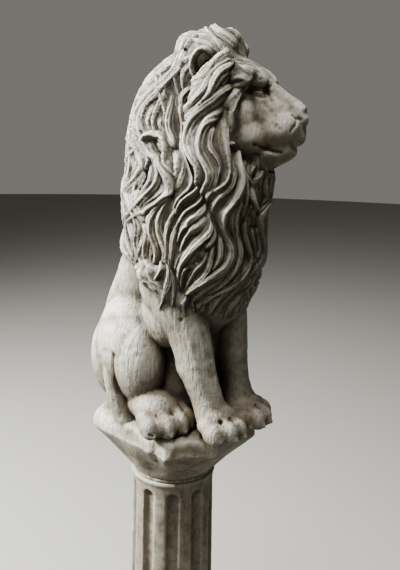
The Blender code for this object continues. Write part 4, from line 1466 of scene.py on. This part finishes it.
def fluteCutters():
    bm = bmesh.new()
    low = shaftZ + column["fluteFoot"]
    high = columnHeight - column["collarHeight"] - column["fluteTop"]
    half = column["fluteWidth"] / 2
    radius = (half ** 2 + column["fluteDepth"] ** 2) / (2 * column["fluteDepth"])
    for number in range(column["flutes"]):
        angle = math.radians(view["azimuth"]) + math.tau * number / column["flutes"]
        turn = Matrix.Rotation(angle, 4, "Z")
        part = bmesh.new()
        bmesh.ops.create_uvsphere(part, u_segments=40, v_segments=19, radius=radius)
        for way, end in ((1, high), (-1, low)):
            verts = [v for v in part.verts if v.co.z * way > 0]
            out = shaftRadius(end) + radius - column["fluteDepth"]
            place = turn @ Matrix.Translation((0, -out, end - way * half))
            bmesh.ops.transform(part, matrix=place @ Matrix.Diagonal((1, 1, half / radius, 1)), verts=verts)
        addTo(bm, part)
    return meshOf(bm, "flutes")


def carvedColumn():
    bm = bmesh.new()
    addTo(bm, spun(columnProfile(), column["sides"]))
    shaft = looseObject(meshOf(bm, "shaft"))
    cutters = looseObject(fluteCutters())
    cut = shaft.modifiers.new("flutes", "BOOLEAN")
    cut.operation = "DIFFERENCE"
    cut.object = cutters
    mesh = evaluated(shaft)
    bpy.data.objects.remove(cutters)
    whole = bmesh.new()
    whole.from_mesh(mesh)
    block = bmesh.new()
    bmesh.ops.create_cube(block, size=1.0)
    bmesh.ops.scale(block, vec=(column["foot"], column["foot"], column["footHeight"]), verts=block.verts)
    bmesh.ops.translate(block, vec=(0, 0, column["footHeight"] / 2), verts=block.verts)
    bmesh.ops.bevel(block, geom=block.edges[:], offset=column["footBevel"], segments=3, profile=0.5,
                    affect="EDGES", material=-1)
    addTo(whole, block)
    mesh = remeshed(whole, column["voxel"], 2)
    roughened(mesh, column["roughness"], column["roughnessScale"], 9.0)
    mesh = thinned(mesh, column["triangles"])
    places = vertexArrays(mesh)[0]
    half = column["foot"] / 2
    places[:, :2] = np.clip(places[:, :2], -half, half)
    places[:, 2] = np.clip(places[:, 2], 0.0, columnHeight)
    setPlaces(mesh, places)
    return mesh


def carvedMortar():
    low, high = mortarLow.z, mortarHigh.z
    radius = mortarHigh.x
    outline = [(0.0, high)]
    for k in range(mortar["rows"] + 1):
        turn = math.pi * (0.5 - k / mortar["rows"])
        height = (low + high) / 2 + (high - low) / 2 * math.sin(turn)
        outline.append((radius - mortar["inset"] + mortar["bulge"] * math.cos(turn), height))
    outline.append((0.0, low))
    part = spun(outline, mortar["sides"])
    bmesh.ops.recalc_face_normals(part, faces=part.faces)
    for vert in part.verts:
        if vert.co.xy.length > 0.5 * radius:
            amount = noise.noise(vert.co * 120.0) + 0.6 * noise.noise(vert.co * 330.0)
            vert.co.xy *= 1 + mortar["uneven"] * amount
    return meshOf(part, "mortar")


lionMesh = carvedLion()
markGrimeAndShade(lionMesh, 0.0011, 0.0050)
markSkyOpenness(lionMesh, 14, 0.07)
print("exposure marked")
finishedPiece("lionCarving", lionMesh, stoneMaterial("lionStone", lionStone, False, True),
              "lion_on_rocky_base")
print("lion done")

columnMesh = carvedColumn()
markGrimeAndShade(columnMesh, 0.0012, 0.0060)
markSkyOpenness(columnMesh, 8, 0.05)
finishedPiece("columnCarving", columnMesh, stoneMaterial("columnStone", columnStone, True, False),
              "fluted_column")
print("column done", len(columnMesh.polygons))

finishedPiece("mortarRim", carvedMortar(), mortarMaterial(), "mortar_bed")
print("mortar done")


# Floor, light and camera

studio = {
    "floorColour": (0.155, 0.148, 0.130),
    "floorRadius": 14.0,
    "air": (0.93, 0.89, 0.80, 1.0),
    "airStrength": 0.20,
    "aim": 0.30,                             # the height over the slab that the lamps point at
}
lamps = {                                    # azimuth, elevation, distance, size, watts, colour
    "keyLight": (-140.0, 26.0, 2.6, 0.8, 1080.0, (0.96, 0.99, 1.0)),
    "topLight": (-75.0, 70.0, 2.8, 0.9, 230.0, (1.0, 1.0, 1.0)),
    "frontLight": (-88.0, 28.0, 3.0, 1.6, 34.0, (1.0, 0.98, 0.94)),
    "fillLight": (30.0, 12.0, 3.2, 2.0, 3.0, (1.0, 0.90, 0.78)),
}

floorBm = bmesh.new()
bmesh.ops.create_circle(floorBm, segments=96, radius=studio["floorRadius"], cap_ends=True)
floorMesh = meshOf(floorBm, "floor")
floorFinish = {"Base Color": studio["floorColour"], "Roughness": 0.9}
floorMesh.materials.append(Board("paleFloor").finished(floorFinish))
floor = bpy.data.objects.new("floor", floorMesh)
bpy.context.scene.collection.objects.link(floor)


def softLight(name, azimuth, elevation, distance, size, power, colour):
    target = Vector((0, 0, figureZ + studio["aim"]))
    turn, rise = math.radians(azimuth), math.radians(elevation)
    offset = Vector((math.sin(turn) * math.cos(rise), -math.cos(turn) * math.cos(rise), math.sin(rise)))
    lamp = bpy.data.lights.new(name, "AREA")
    lamp.shape = "DISK"
    lamp.size = size
    lamp.energy = power
    lamp.color = colour
    holder = bpy.data.objects.new(name, lamp)
    holder.location = target + offset * distance
    holder.rotation_euler = (-offset).to_track_quat("-Z", "Y").to_euler()
    bpy.context.scene.collection.objects.link(holder)


for lampName, lampValues in lamps.items():
    softLight(lampName, *lampValues)

world = bpy.data.worlds.new("studio")
bpy.context.scene.world = world
world.use_nodes = True
world.node_tree.nodes["Background"].inputs[0].default_value = studio["air"]
world.node_tree.nodes["Background"].inputs[1].default_value = studio["airStrength"]

lens = bpy.data.cameras.new("camera")
lens.sensor_width = 36.0
lens.lens = view["focal"] / view["height"] * lens.sensor_width
eye = bpy.data.objects.new("camera", lens)
eye.matrix_world = Matrix((viewRight, viewUp, -viewAhead)).transposed().to_4x4()
eye.matrix_world.translation = viewPlace + Vector((0, 0, figureZ))
bpy.context.scene.collection.objects.link(eye)
bpy.context.scene.camera = eye
